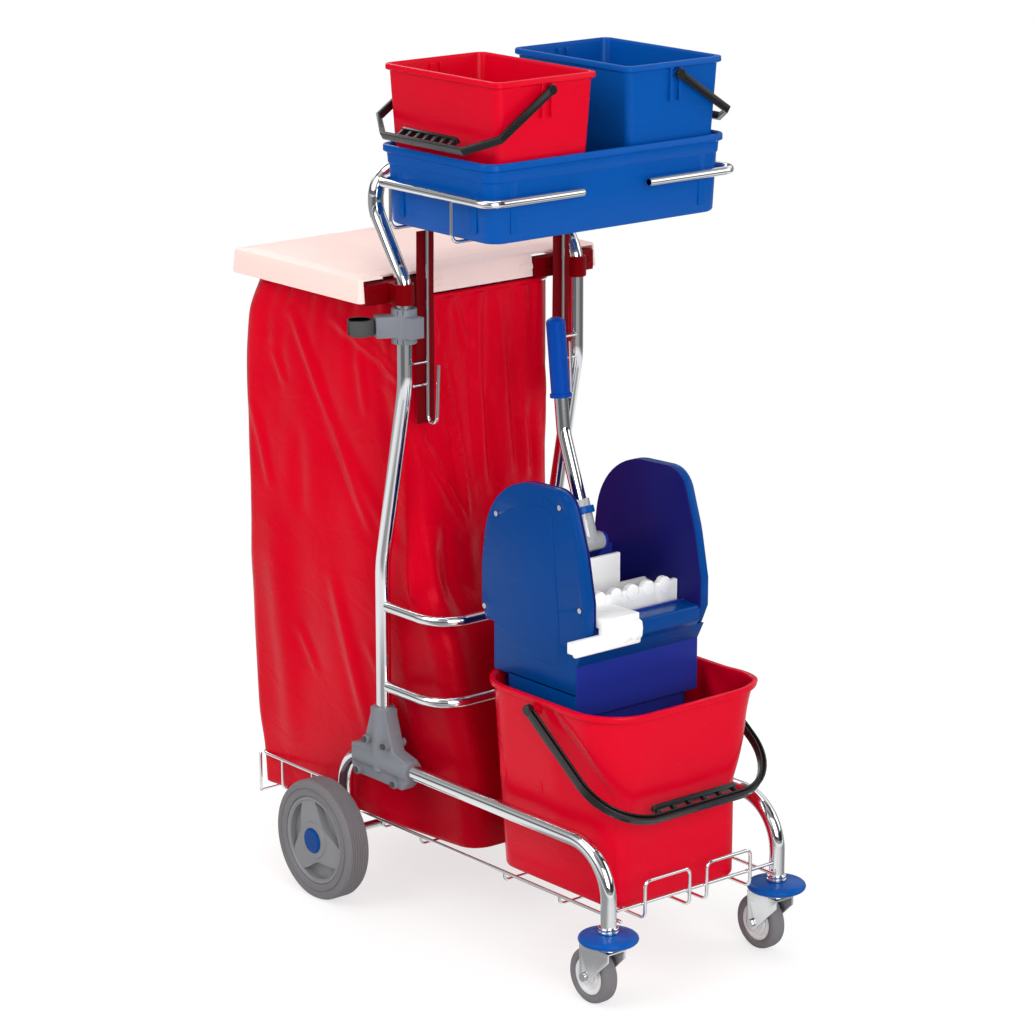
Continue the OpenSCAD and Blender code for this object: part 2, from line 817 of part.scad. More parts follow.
// A closed skin through rings of points that are listed from the top down
module lofted(rings) {
    n = len(rings[0]);
    m = len(rings);
    faces = concat(
        [for (i = [0 : m - 2], k = [0 : n - 1]) [i * n + k, i * n + (k + 1) % n, (i + 1) * n + k]],
        [for (i = [0 : m - 2], k = [0 : n - 1])
            [i * n + (k + 1) % n, (i + 1) * n + (k + 1) % n, (i + 1) * n + k]],
        [[for (k = [n - 1 : -1 : 0]) k], [for (k = [0 : n - 1]) (m - 1) * n + k]]);
    polyhedron([for (ring = rings, p = ring) p], faces, convexity = 6);
}

module bag() {
    last = len(bag_levels) - 1;
    inner = [for (i = [0 : last])
        let (l = bag_levels[i], lift = i == 0 ? 1 : i == last ? bag_wall : 0)
        bag_ring_points([l[0] + lift, l[1], l[2], l[3], l[4]], bag_wall)];
    color(red) placed() difference() {
        lofted([for (l = bag_levels) bag_ring_points(l, 0)]);
        lofted(inner);
    }
}

// A wire hoop, with a butt seam at the front, that lies on the bag's hem
module bag_ring() {
    top = bag_levels[0];
    inset = ring_d / 2;
    front = [top[2] - inset, seat / 2, ring_z];
    side = [front, [top[2] - inset, top[4] - inset, ring_z], [top[1] + inset, top[3] - inset, ring_z]];
    color(chrome) placed()
        bent_tube(concat(side, backwards(flip(side))), [0, 34, 34, 34, 34, 0], ring_d);
}

// Webbing straps that hang behind the hook wires
module bag_straps() {
    strap_t = 2;
    top_z = hanger_z - 16;
    low_z = hook_low_z;
    color(red) placed() both_sides()
        translate([hook_x - wire_d / 2 - seat - strap_t, hook_y - strap_w / 2, low_z])
            cube([strap_t, strap_w, top_z - low_z]);
}

module lid() {
    mid = lid_front_x - lid_l / 2;
    top_z = lid_z + lid_h;
    lug_d = lid_pin_d + 10;
    lug_l = 24;
    rest_x = bag_levels[0][1] + ring_d / 2;
    color(pale) placed() difference() {
        union() {
            difference() {
                translate([mid, 0, lid_z]) flared([lid_l, lid_w, 26], [lid_l - 12, lid_w - 12, 22], lid_h);
                translate([mid, 0, lid_z - slice])
                    flared([lid_l - 2 * lid_wall, lid_w - 2 * lid_wall, 23],
                        [lid_l - 12 - 2 * lid_wall, lid_w - 12 - 2 * lid_wall, 19],
                        lid_h - lid_wall + slice);
            }
            both_sides() {
                along_y([hinge_x, lid_tongue - lug_l, hinge_z], lug_d, lug_l);
                translate([hinge_x - lug_d / 2, lid_tongue - lug_l, hinge_z])
                    cube([lug_d, lug_l, top_z - lid_wall - hinge_z + 1]);
                translate([rest_x - 4, 96, ring_z + ring_d / 2 + seat])
                    cube([8, 10, top_z - lid_wall + 1 - ring_z - ring_d / 2 - seat]);
            }
        }
        both_sides() {
            along_y([hinge_x, 0, hinge_z], lid_pin_d + 2 * running_fit, lid_tongue + 1);
            // Room for the bracket below the top, and for the upright when the lid is open
            translate([lid_notch_x, lid_tongue, lid_z - 1])
                cube([lid_l, lid_notch_y - lid_tongue, lid_h - lid_wall + 1]);
            translate([hinge_x - 5, half_track - collar_d / 2, lid_z - 1]) cube([lid_l, collar_d, lid_h + 2]);
        }
    }
}

// A red bracket clamped on the upright, which carries the bag's ring and the lid's hinge pin
module lid_bracket() {
    pin_l = 18;
    inner_y = lid_tongue + 2;
    outer_y = lid_notch_y - 2;
    difference() {
        union() {
            translate([bracket_x, inner_y, bracket_z])
                cube([bracket_front_x - bracket_x, outer_y - inner_y, bracket_h]);
            translate([bracket_front_x - 1, half_track - collar_d / 2 + 3, bracket_z])
                cube([upper_x - bracket_front_x + 1, collar_d - 6, bracket_h]);
            translate([upper_x, half_track, bracket_z]) cylinder(d = collar_d - 6, h = bracket_h);
            along_y([hinge_x, inner_y - pin_l, hinge_z], lid_pin_d, pin_l + 1);
        }
        bent_tube([[upper_x, half_track, bracket_z - bracket_h], [upper_x, half_track, neck_z],
            [handle_x, half_track, crook_z]], [0, neck_bend_r, 0], tube_d + 2 * seat);
    }
}

module lid_bracket_left() color(red) left() lid_bracket();

module lid_bracket_right() color(red) right() lid_bracket();

// Tray and pails

module tray() {
    l = tray_l - 2 * tray_lip;
    w = tray_w - 2 * tray_lip;
    low = [l - tray_taper, w - 2 * tray_taper, tray_corner_r - 6];
    r = tray_corner_r - tray_lip;
    color(blue) placed() translate([tray_mid_x, 0, tray_z]) difference() {
        union() {
            flared(low, [l, w, r], tray_h);
            translate([0, 0, tray_h - tray_lip_h]) linear_extrude(tray_lip_h)
                rounded_rect(tray_l, tray_w, tray_corner_r);
        }
        translate([0, 0, tray_wall])
            flared([low[0] - 2 * tray_wall, low[1] - 2 * tray_wall, low[2] - tray_wall],
                [l - 2 * tray_wall, w - 2 * tray_wall, r - tray_wall], tray_h - tray_wall + slice);
    }
}

// A pail about its own middle, with pivots on its front and rear faces
module pail() {
    l = pail_l - 2 * pail_lip;
    w = pail_w - 2 * pail_lip;
    low = [l - 2 * pail_taper, w - 2 * pail_taper, pail_corner_r - 4];
    r = pail_corner_r - 2;
    pivot_h = pail_h - pail_pivot_drop;
    face = l / 2 - pail_taper * pail_pivot_drop / pail_h;
    pin_l = pail_bail_x + pail_bail_d / 2 + 1 - face;
    translate([tray_mid_x, pail_y, pail_z]) {
        difference() {
            union() {
                flared(low, [l, w, r], pail_h);
                translate([0, 0, pail_h - pail_lip_h]) linear_extrude(pail_lip_h)
                    rounded_rect(pail_l, pail_w, pail_corner_r);
                for (s = [-1, 1], y = [-8, 8])
                    translate([s * (l / 2 - 3) - 4, y - 2.5, pail_h - 50]) cube([8, 5, 44]);
            }
            translate([0, 0, pail_wall])
                flared([low[0] - 2 * pail_wall, low[1] - 2 * pail_wall, low[2] - pail_wall],
                    [l - 2 * pail_wall, w - 2 * pail_wall, r - pail_wall], pail_h - pail_wall + slice);
        }
        for (s = [0, 180])
            rotate([0, 0, s]) along_x([face - 1, 0, pivot_h], pail_pivot_d, pin_l + 1);
    }
}

module pail_left() color(blue) left() pail();

module pail_right() color(red) right() pail();

// A bail that turns on an axis along X and reaches to +Y, with an open ladder as its grip
module bail(half_span, reach, bend_r, d, pin_d, ladder_l) {
    side = [[half_span, 0, 0], [half_span, reach - d / 2, 0]];
    eye_d = pin_d + 8;
    ladder_w = 1.6 * d;
    rungs = 6;
    rung_spread = 0.92 * ladder_l;
    difference() {
        union() {
            bent_tube([side[0], side[1], [-half_span, reach - d / 2, 0], [-half_span, 0, 0]],
                [0, bend_r, bend_r, 0], d);
            for (s = [-1, 1])
                along_x([s * half_span - d / 2 - 0.5, 0, 0], eye_d, d + 1);
            along_x([-ladder_l / 2, reach - d / 2 - ladder_w, 0], 0.7 * d, ladder_l);
            for (k = [0 : rungs])
                along_y([(k / rungs - 0.5) * rung_spread, reach - d / 2 - ladder_w, 0], 0.5 * d,
                    ladder_w);
        }
        along_x([-2 * half_span, 0, 0], pin_d + 2 * running_fit, 4 * half_span);
    }
}

module pail_bail() {
    translate([tray_mid_x, pail_y, pail_pivot_z]) rotate([-pail_bail_tilt, 0, 0])
        bail(pail_bail_x, pail_bail_reach, 46, pail_bail_d, pail_pivot_d, 104);
}

module pail_bail_left() color(black) left() pail_bail();

module pail_bail_right() color(black) right() pail_bail();

// Mop bucket

module mop_bucket() {
    l = bucket_l - 2 * bucket_lip;
    w = bucket_w - 2 * bucket_lip;
    wall2 = 2 * bucket_wall;
    low = [l - 32, w - 50, 34];
    waist = [l - 20, w - 20, 46];
    high = [l, w, 70];
    rest = bucket_h - bucket_waist_z;
    // The rear is steeper than the front, so the waist is pushed back
    waist_dx = -3;
    low_dx = 0;
    pivot_from = w / 2 - bucket_wall;
    color(red) placed() translate([bucket_mid_x, 0, bucket_z]) {
        difference() {
            union() {
                hull() {
                    translate([low_dx, 0, 0]) linear_extrude(slice)
                        rounded_rect(low[0], low[1], low[2], $fn = 32);
                    translate([waist_dx, 0, bucket_waist_z]) linear_extrude(slice)
                        rounded_rect(waist[0], waist[1], waist[2], $fn = 32);
                }
                hull() {
                    translate([waist_dx, 0, bucket_waist_z]) linear_extrude(slice)
                        rounded_rect(waist[0], waist[1], waist[2], $fn = 32);
                    translate([0, 0, bucket_h - slice]) linear_extrude(slice)
                        rounded_rect(high[0], high[1], high[2], $fn = 32);
                }
                translate([0, 0, bucket_h - bucket_lip_h]) linear_extrude(bucket_lip_h)
                    rounded_rect(bucket_l, bucket_w, high[2] + bucket_lip);
            }
            hull() {
                translate([low_dx, 0, bucket_wall]) linear_extrude(slice)
                    rounded_rect(low[0] - wall2, low[1] - wall2, low[2] - bucket_wall, $fn = 32);
                translate([waist_dx, 0, bucket_waist_z]) linear_extrude(slice)
                    rounded_rect(waist[0] - wall2, waist[1] - wall2, waist[2] - bucket_wall, $fn = 32);
            }
            hull() {
                translate([waist_dx, 0, bucket_waist_z]) linear_extrude(slice)
                    rounded_rect(waist[0] - wall2, waist[1] - wall2, waist[2] - bucket_wall, $fn = 32);
                translate([0, 0, bucket_h]) linear_extrude(slice)
                    rounded_rect(high[0] - wall2, high[1] - wall2, high[2] - bucket_wall, $fn = 32);
            }
        }
        // Ledges in the side walls that the wringer stands on, and the bail's pivots
        both_sides() {
            for (x = [body_rear_x + 30, body_front_x - 50])
                translate([x - bucket_mid_x, cheek_in - 10, ledge_z - bucket_z - 40])
                    cube([14, waist[1] / 2 - cheek_in + 10, 40]);
            along_y([bucket_pivot_x - bucket_mid_x, pivot_from, bucket_pivot_z - bucket_z], bucket_pivot_d,
                bucket_bail_y + bucket_bail_d / 2 + 1 - pivot_from);
        }
    }
}

module bucket_bail() {
    color(black) placed() translate([bucket_pivot_x, 0, bucket_pivot_z])
        rotate([0, bucket_bail_tilt, 0]) rotate([0, 0, -90])
            bail(bucket_bail_y, bucket_bail_reach, 84, bucket_bail_d, bucket_pivot_d, 150);
}

// Wringer

// Outline of a cheek in X and Z, drawn in by the amount inset
module cheek_outline(inset) {
    low_z = bucket_rim_z + 20 + inset;
    hull() {
        translate([bucket_x + 93, cheek_top_z - 107]) circle(r = 105 - inset, $fn = 64);
        translate([bucket_x + 139, cheek_top_z - 40]) circle(r = 40 - inset, $fn = 32);
        polygon([[cheek_rear_x + inset, cheek_top_z - 136], [cheek_rear_x + inset, cheek_top_z - 190],
            [cheek_rear_x + 10 + inset, cheek_low_z + inset], [cheek_front_x - 12 - inset, cheek_low_z + inset],
            [cheek_front_x - inset, cheek_top_z - 190], [cheek_front_x - inset, cheek_top_z - 149]]);
    }
    translate([body_rear_x + inset, low_z])
        square([body_front_x - body_rear_x - 2 * inset, cheek_low_z + 20 - low_z]);
}

module upright_plate(y, t) translate([0, y + t, 0]) rotate([90, 0, 0]) linear_extrude(t) children();

// A hollow housing that is closed on the outside and covered by the body's side plate on the inside
module wringer_cheek() {
    difference() {
        upright_plate(cheek_in, cheek_t) cheek_outline(0);
        upright_plate(cheek_in - 1, cheek_t - cheek_wall + 1) cheek_outline(cheek_wall);
        for (at = rivets_at)
            along_y([at[0], cheek_in, at[1]], rivet_d + 2 * seat, 2 * cheek_t);
    }
}

// A collar on the inside of the right cheek that the end of the lever's shaft turns in
module shaft_bearing() {
    difference() {
        along_y([shaft_x, cheek_out - cheek_wall - 4, shaft_z], shaft_d + 8, 5);
        along_y([shaft_x, cheek_in, shaft_z], shaft_d + 2 * running_fit, cheek_t - cheek_wall);
    }
}

module wringer_cheek_left() color(blue) left() wringer_cheek();

module wringer_cheek_right() {
    color(blue) right() {
        wringer_cheek();
        shaft_bearing();
    }
}

rivet_d = 4;
rivets_at = [[bucket_x + 17, cheek_top_z - 59], [bucket_x + 152, cheek_top_z - 23],
    [cheek_rear_x + 8, cheek_top_z - 198], [cheek_front_x - 14, cheek_top_z - 159]];

module wringer_rivets() {
    head_h = 1.6;
    color(chrome) placed() both_sides()
        for (at = rivets_at) {
            along_y([at[0], cheek_out - cheek_wall - 1, at[1]], rivet_d, cheek_wall + 1 + head_h / 2);
            along_y([at[0], cheek_out + seat / 3, at[1]], rivet_d * 1.9, head_h);
        }
}

plate_t = 3;
// Arms of the press plate that slide in slots of the body's side plates
slider_z = rack_z + 4;
slider_h = 8;

// Room for one slider of the moving plate in the side plate of the body
module slider_slot(z) {
    translate([press_x - 4, cheek_in - plate_t - 1, z - seat])
        cube([press_travel + 14, plate_t + 2, slider_h + 2 * seat]);
}

// An open box that hangs in the bucket, with side plates that reach up inside the cheeks
module wringer_body() {
    l = body_front_x - body_rear_x;
    inner_y = cheek_in - plate_t;
    rib_y = sleeve_to + seat;
    rib_r = shaft_d / 2 + 5;
    color(blue) placed() difference() {
        union() {
            both_sides() upright_plate(inner_y, plate_t - seat / 3) {
                cheek_outline(0);
                translate([body_rear_x, body_z]) square([l, bucket_rim_z + 40 - body_z]);
            }
            translate([body_rear_x, -inner_y - 1, body_z])
                cube([body_wall, 2 * inner_y + 2, shaft_z - 30 - body_z]);
            translate([body_front_x - body_wall, -inner_y - 1, body_z])
                cube([body_wall, 2 * inner_y + 2, front_wall_z - body_z]);
            translate([body_rear_x, -inner_y - 1, body_z]) cube([l, 2 * inner_y + 2, body_wall]);
            upright_plate(rib_y, rib_t) {
                translate([shaft_x, shaft_z]) circle(r = rib_r);
                polygon([[body_rear_x + 1, shaft_z - 90], [body_rear_x + 1, shaft_z - 34],
                    [shaft_x, shaft_z + rib_r], [shaft_x + rib_r, shaft_z], [shaft_x, shaft_z - rib_r]]);
            }
        }
        along_y([shaft_x, -cheek_out, shaft_z], shaft_d + 2 * running_fit,
            cheek_out + rib_y + rib_t + 1);
        slider_slot(guide_z);
        mirror([0, 1, 0]) slider_slot(slider_z);
        for (x = [body_rear_x + 20 : 24 : body_front_x - 30], y = [-60, 0, 60])
            translate([x, y - 20, body_z - 1]) cube([10, 40, body_wall + 2]);
    }
}

press_travel = 46;
front_wall_z = 505;
press_top_z = 520;
guide_z = press_top_z - slider_h - 4;
tab_top_z = shaft_z - 18;
tooth_pitch = 2 * PI * gear_r / gear_teeth;

// The white plate that squeezes the mop, with the arm and rack that the gear drives
module press_plate_rear() {
    half_w = cheek_in - plate_t - 4;
    rack_l = 68;
    arm_w = 10;
    teeth = floor(rack_l / tooth_pitch / 2);
    color(white) placed() {
        translate([press_x, -half_w, body_z + 10]) cube([press_t, 2 * half_w, press_top_z - body_z - 10]);
        translate([press_x, -42, press_top_z - 1]) cube([press_t, 84, tab_top_z - press_top_z + 1]);
        for (y = [-60 : 20 : 60])
            translate([press_x + press_t - 1, y - 3, body_z + 30])
                cube([4, 6, press_top_z - body_z - 50]);
        translate([press_x, half_w - arm_w, guide_z])
            cube([press_t, gear_y + gear_w - half_w + arm_w, slider_h]);
        mirror([0, 1, 0]) {
            translate([press_x, half_w - arm_w, press_top_z - 1])
                cube([press_t, arm_w, slider_z + slider_h - press_top_z + 1]);
            translate([press_x, half_w - arm_w, slider_z])
                cube([press_t, gear_y + gear_w - half_w + arm_w, slider_h]);
        }
        mirror([0, 1, 0]) upright_plate(gear_y, gear_w) {
            translate([press_x + press_t - rack_l, slider_z - 1.6]) square([rack_l, slider_h + 1.6]);
            for (k = [-2 * teeth + 1 : 1])
                translate([shaft_x + k * tooth_pitch, rack_z])
                    polygon([[-0.28 * tooth_pitch, 2.6], [0.28 * tooth_pitch, 2.6],
                        [0.11 * tooth_pitch, -1.8], [-0.11 * tooth_pitch, -1.8]]);
        }
    }
}

// The fixed front plate, with a scalloped top, a bar in front of the body and a round knob
module press_plate_front() {
    half_w = cheek_in - plate_t - 1;
    top_z = front_wall_z + 26;
    bar_x = cheek_front_x + 3;
    bar_z = front_wall_z - 24;
    bar_t = 12;
    bar_end_y = -30;
    knob_y = bar_end_y - 18;
    color(white) placed() {
        translate([front_press_x - 4, -half_w, body_z + 30]) cube([8, 2 * half_w, top_z - body_z - 30]);
        for (y = [-half_w + 14 : 30 : half_w - 14])
            along_x([front_press_x - 5, y, top_z - 4], 22, 10);
        translate([front_press_x, -half_w, front_wall_z + seat])
            cube([bar_x + bar_t - front_press_x, half_w + bar_end_y, 14]);
        translate([bar_x, -cheek_out - 38, bar_z]) cube([bar_t, cheek_out + 38 + bar_end_y, 16]);
        translate([bar_x, -half_w, bar_z]) cube([bar_t, half_w + bar_end_y, front_wall_z + 10 - bar_z]);
        along_x([bar_x + 1, knob_y, front_wall_z - 5], 26, 22);
    }
}

// Spur gear on the lever's shaft, with a gap facing the rack's middle tooth
module drive_gear() {
    step = 360 / gear_teeth;
    root_r = gear_r - 2.2;
    tip_r = gear_r + 1.6;
    tooth = [[-0.3, root_r], [-0.12, tip_r], [0.12, tip_r], [0.3, root_r]];
    outline = [for (k = [0 : gear_teeth - 1], q = tooth)
        let (a = (k + 0.5 + q[0]) * step + 90) [q[1] * cos(a), q[1] * sin(a)]];
    color(grey) placed() mirror([0, 1, 0]) difference() {
        translate([shaft_x, 0, shaft_z]) upright_plate(gear_y, gear_w) polygon(outline);
        along_y([shaft_x, 0, shaft_z], shaft_d + 2 * seat, 2 * cheek_out);
    }
}

lever_base = [shaft_x, 0, shaft_z];
lever_start = lever_base + lever_dir * (sleeve_d / 2 + 4);

// The turning shaft with its sleeve and the socket that holds the lever
module lever_shaft() {
    socket_d = lever_d + 7;
    color(grey) placed() difference() {
        union() {
            along_y([shaft_x, -cheek_out + cheek_wall + 1, shaft_z], shaft_d,
                cheek_out - cheek_wall - 1 + sleeve_to + rib_t);
            along_y([shaft_x, sleeve_from, shaft_z], sleeve_d, sleeve_to - sleeve_from);
            translate(lever_base) aim(lever_dir, [0, 1, 0])
                cylinder(d = socket_d, h = sleeve_d / 2 + 4 + socket_l);
        }
        translate(lever_start - lever_dir * seat) aim(lever_dir, [0, 1, 0])
            cylinder(d = lever_d + 2 * seat, h = 2 * socket_l);
    }
}

module lever_tube() {
    color(chrome) placed()
        bent_tube([lever_start, lever_bend, lever_end], [0, 60, 0], lever_d, tube_wall);
}

module lever_grip() {
    r = lever_d / 2 + 3.5;
    cap = 8;
    along = unit(lever_end - lever_bend);
    color(blue) placed() translate(lever_end - along * (grip_l - cap)) aim(along, [0, 1, 0])
        rotate_extrude() difference() {
            union() {
                translate([0, 2]) square([r, grip_l - cap - 2]);
                square([r + 2, 5]);
                translate([0, grip_l - cap]) square([r - cap + 1, cap]);
                intersection() {
                    translate([r - cap + 1, grip_l - cap]) circle(r = cap - 1);
                    translate([0, grip_l - cap]) square([r, cap]);
                }
            }
            translate([0, -1]) square([lever_d / 2 + seat, grip_l - cap + 1 + seat]);
        }
}

// Mop holder on the right upright

module at_clip_arm() translate([upper_x, half_track, clip_z]) rotate([0, 0, clip_turn]) children();

module mop_clamp() {
    arm_w = 26;
    arm_h = 30;
    arm_end = clip_reach - clip_d / 2 - seat;
    block_w = 24;
    color(grey) right() difference() {
        union() {
            translate([upper_x, half_track, clip_z - collar_h / 2]) cylinder(d = collar_d, h = collar_h);
            at_clip_arm() translate([-arm_w / 2, 0, -arm_h / 2]) cube([arm_w, arm_end, arm_h]);
            translate([upper_x, half_track - block_w / 2, clip_z - arm_h / 2])
                cube([collar_d / 2 + 12, block_w, arm_h]);
        }
        translate([upper_x, half_track, 0]) cylinder(d = tube_d + 2 * seat, h = 2 * clip_z);
    }
}

module mop_clip() {
    mouth = 1.2 * clip_d;
    color(black) right() at_clip_arm() translate([0, clip_reach, -clip_h / 2]) difference() {
        cylinder(d = clip_d, h = clip_h);
        translate([0, 0, -1]) cylinder(d = mop_handle_d, h = clip_h + 2);
        translate([0, 0, -1]) linear_extrude(clip_h + 2)
            polygon([[0, 0], [-0.6 * mouth, mouth], [0.6 * mouth, mouth]]);
    }
}

side_rail_left();
side_rail_right();
handle_frame();
connector_outer_left();
connector_outer_right();
connector_inner_left();
connector_inner_right();
connector_screws();
cross_bar_upper();
cross_bar_lower();
tray_rail_left();
tray_rail_right();
tray_wires();
tray_hooks();
bucket_rack();
bag_rack();
rear_axle();
axle_spacers();
rear_tyre_left();
rear_tyre_right();
rear_wheel_left();
rear_wheel_right();
hub_cap_left();
hub_cap_right();
caster_stems();
bumper_left();
bumper_right();
caster_fork_left();
caster_fork_right();
caster_axle_left();
caster_axle_right();
caster_wheel_left();
caster_wheel_right();
caster_tyre_left();
caster_tyre_right();
bag();
bag_ring();
bag_straps();
lid();
lid_bracket_left();
lid_bracket_right();
tray();
pail_left();
pail_right();
pail_bail_left();
pail_bail_right();
mop_bucket();
bucket_bail();
wringer_body();
wringer_cheek_left();
wringer_cheek_right();
wringer_rivets();
press_plate_rear();
press_plate_front();
drive_gear();
lever_shaft();
lever_tube();
lever_grip();
mop_clamp();
mop_clip();
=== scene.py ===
"""Looks of the janitor cart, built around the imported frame.

Sizes are in millimetres from the rear axle: X to the front, Y to the left and Z up. place() turns them
into metres of the part's own frame.
"""

import logging
import math
from contextlib import contextmanager
from dataclasses import dataclass
from enum import Enum
from typing import Callable, Iterator, NamedTuple, Sequence

import bmesh
import bpy
import numpy as np
from mathutils import Matrix, Vector


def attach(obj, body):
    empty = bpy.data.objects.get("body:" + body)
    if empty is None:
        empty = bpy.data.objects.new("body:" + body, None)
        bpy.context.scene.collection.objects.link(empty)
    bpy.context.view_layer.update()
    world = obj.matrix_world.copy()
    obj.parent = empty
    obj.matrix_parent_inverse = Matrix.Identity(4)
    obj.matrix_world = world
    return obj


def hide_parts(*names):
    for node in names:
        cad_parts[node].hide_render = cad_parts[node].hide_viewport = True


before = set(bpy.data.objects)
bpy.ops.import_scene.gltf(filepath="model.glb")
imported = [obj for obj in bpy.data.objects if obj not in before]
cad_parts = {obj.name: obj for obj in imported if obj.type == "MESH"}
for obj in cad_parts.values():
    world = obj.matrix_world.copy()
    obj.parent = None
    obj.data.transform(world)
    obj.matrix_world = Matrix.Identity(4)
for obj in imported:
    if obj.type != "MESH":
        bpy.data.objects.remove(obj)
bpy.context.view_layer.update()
MID_X = 207.25
MM = 0.001
GRAIN_DEPTH = 0.0004
COAT_GLOSS = 0.3
LOG = logging.getLogger("cart")

Colour = tuple[float, float, float]
Span = tuple[float, float]
Piece = bpy.types.Object
Socket = bpy.types.NodeSocket
Crease = tuple[float, float, float, float, float, float]


def place(x: float, y: float, z: float) -> Vector:
    """A point in millimetres from the rear axle, in metres of the part's frame."""
    return Vector(((x - MID_X) * MM, y * MM, z * MM))


def stand(x: float, y: float, z: float, quarters: float = 0.0, axis: str = "X") -> Matrix:
    """Brings the Z axis to a place, turned by quarter turns about X, Y or Z."""
    return Matrix.Translation(place(x, y, z)) @ Matrix.Rotation(quarters * math.pi / 2, 4, axis)


def screen(red: int, green: int, blue: int) -> Colour:
    """A colour given by its 0 to 255 screen values, in linear light."""
    shares = (red / 255, green / 255, blue / 255)
    return tuple(s / 12.92 if s <= 0.04045 else ((s + 0.055) / 1.055) ** 2.4 for s in shares)


class Side(Enum):
    """The two sides of the cart."""

    LEFT = 1
    RIGHT = -1

    @property
    def label(self) -> str:
        """The ending of a node's name on this side."""
        return self.name.lower()


class Part(Enum):
    """The kinds of mesh elements that are selected by test."""

    FACE = "FACE"
    EDGE = "EDGE"


class Bend(Enum):
    """The two shapes of a handle's corners."""

    CUT = "cut"
    ROUND = "round"


class Panel(Enum):
    """The four walls of the bag, each with the axis it runs along and the way it faces."""

    FRONT = (1, (1.0, 0.0))
    REAR = (1, (-1.0, 0.0))
    LEFT = (0, (0.0, 1.0))
    RIGHT = (0, (0.0, -1.0))


class Graph:
    """A node tree and short words for filling it."""

    def __init__(self, tree: bpy.types.NodeTree) -> None:
        """Takes the tree that is to be filled.

        Args:
            tree: the node tree.
        """
        self.tree = tree

    def add(self, kind: str, values: dict[str, object] | None = None, **settings: object) -> bpy.types.Node:
        """Adds a node.

        Args:
            kind: the node's type name, without the ShaderNode in front of it.
            values: input names with the sockets or constants that feed them.
            settings: properties of the node.

        Returns:
            The new node.
        """
        node = self.tree.nodes.new("ShaderNode" + kind)
        for name, setting in settings.items():
            setattr(node, name, setting)
        for name, value in (values or {}).items():
            self.feed(value, node.inputs[name])
        return node

    def feed(self, value: object, target: Socket) -> None:
        """Links a socket, or sets a constant, on an input."""
        if isinstance(value, bpy.types.NodeSocket):
            self.tree.links.new(value, target)
        else:
            target.default_value = value

    def math(self, operation: str, first: object, second: object) -> Socket:
        """The result of a sum on two numbers or sockets."""
        node = self.add("Math", operation=operation)
        self.feed(first, node.inputs[0])
        self.feed(second, node.inputs[1])
        return node.outputs[0]

    def tint(self, share: object, first: object, second: object, how: str = "MIX") -> Socket:
        """A mix of two colours."""
        node = self.add("Mix", data_type="RGBA", blend_type=how)
        for label, value in (("Factor", share), ("A", first), ("B", second)):
            self.feed(value, node.inputs[label])
        return node.outputs["Result"]

    def blend(self, share: Socket, first: bpy.types.Node, second: bpy.types.Node) -> bpy.types.Node:
        """A mix of two shaders."""
        node = self.add("MixShader", {"Fac": share})
        self.feed(first.outputs[0], node.inputs[1])
        self.feed(second.outputs[0], node.inputs[2])
        return node

    def bands(self, share: Socket, stops: Sequence[Span]) -> Socket:
        """Grey levels along a number, from stops of place and level."""
        node = self.add("ValToRGB", {"Fac": share})
        ramp = node.color_ramp
        while len(ramp.elements) < len(stops):
            ramp.elements.new(1.0)
        for element, (spot, level) in zip(ramp.elements, stops):
            element.position = spot
            element.color = grey(level)
        return node.outputs["Color"]


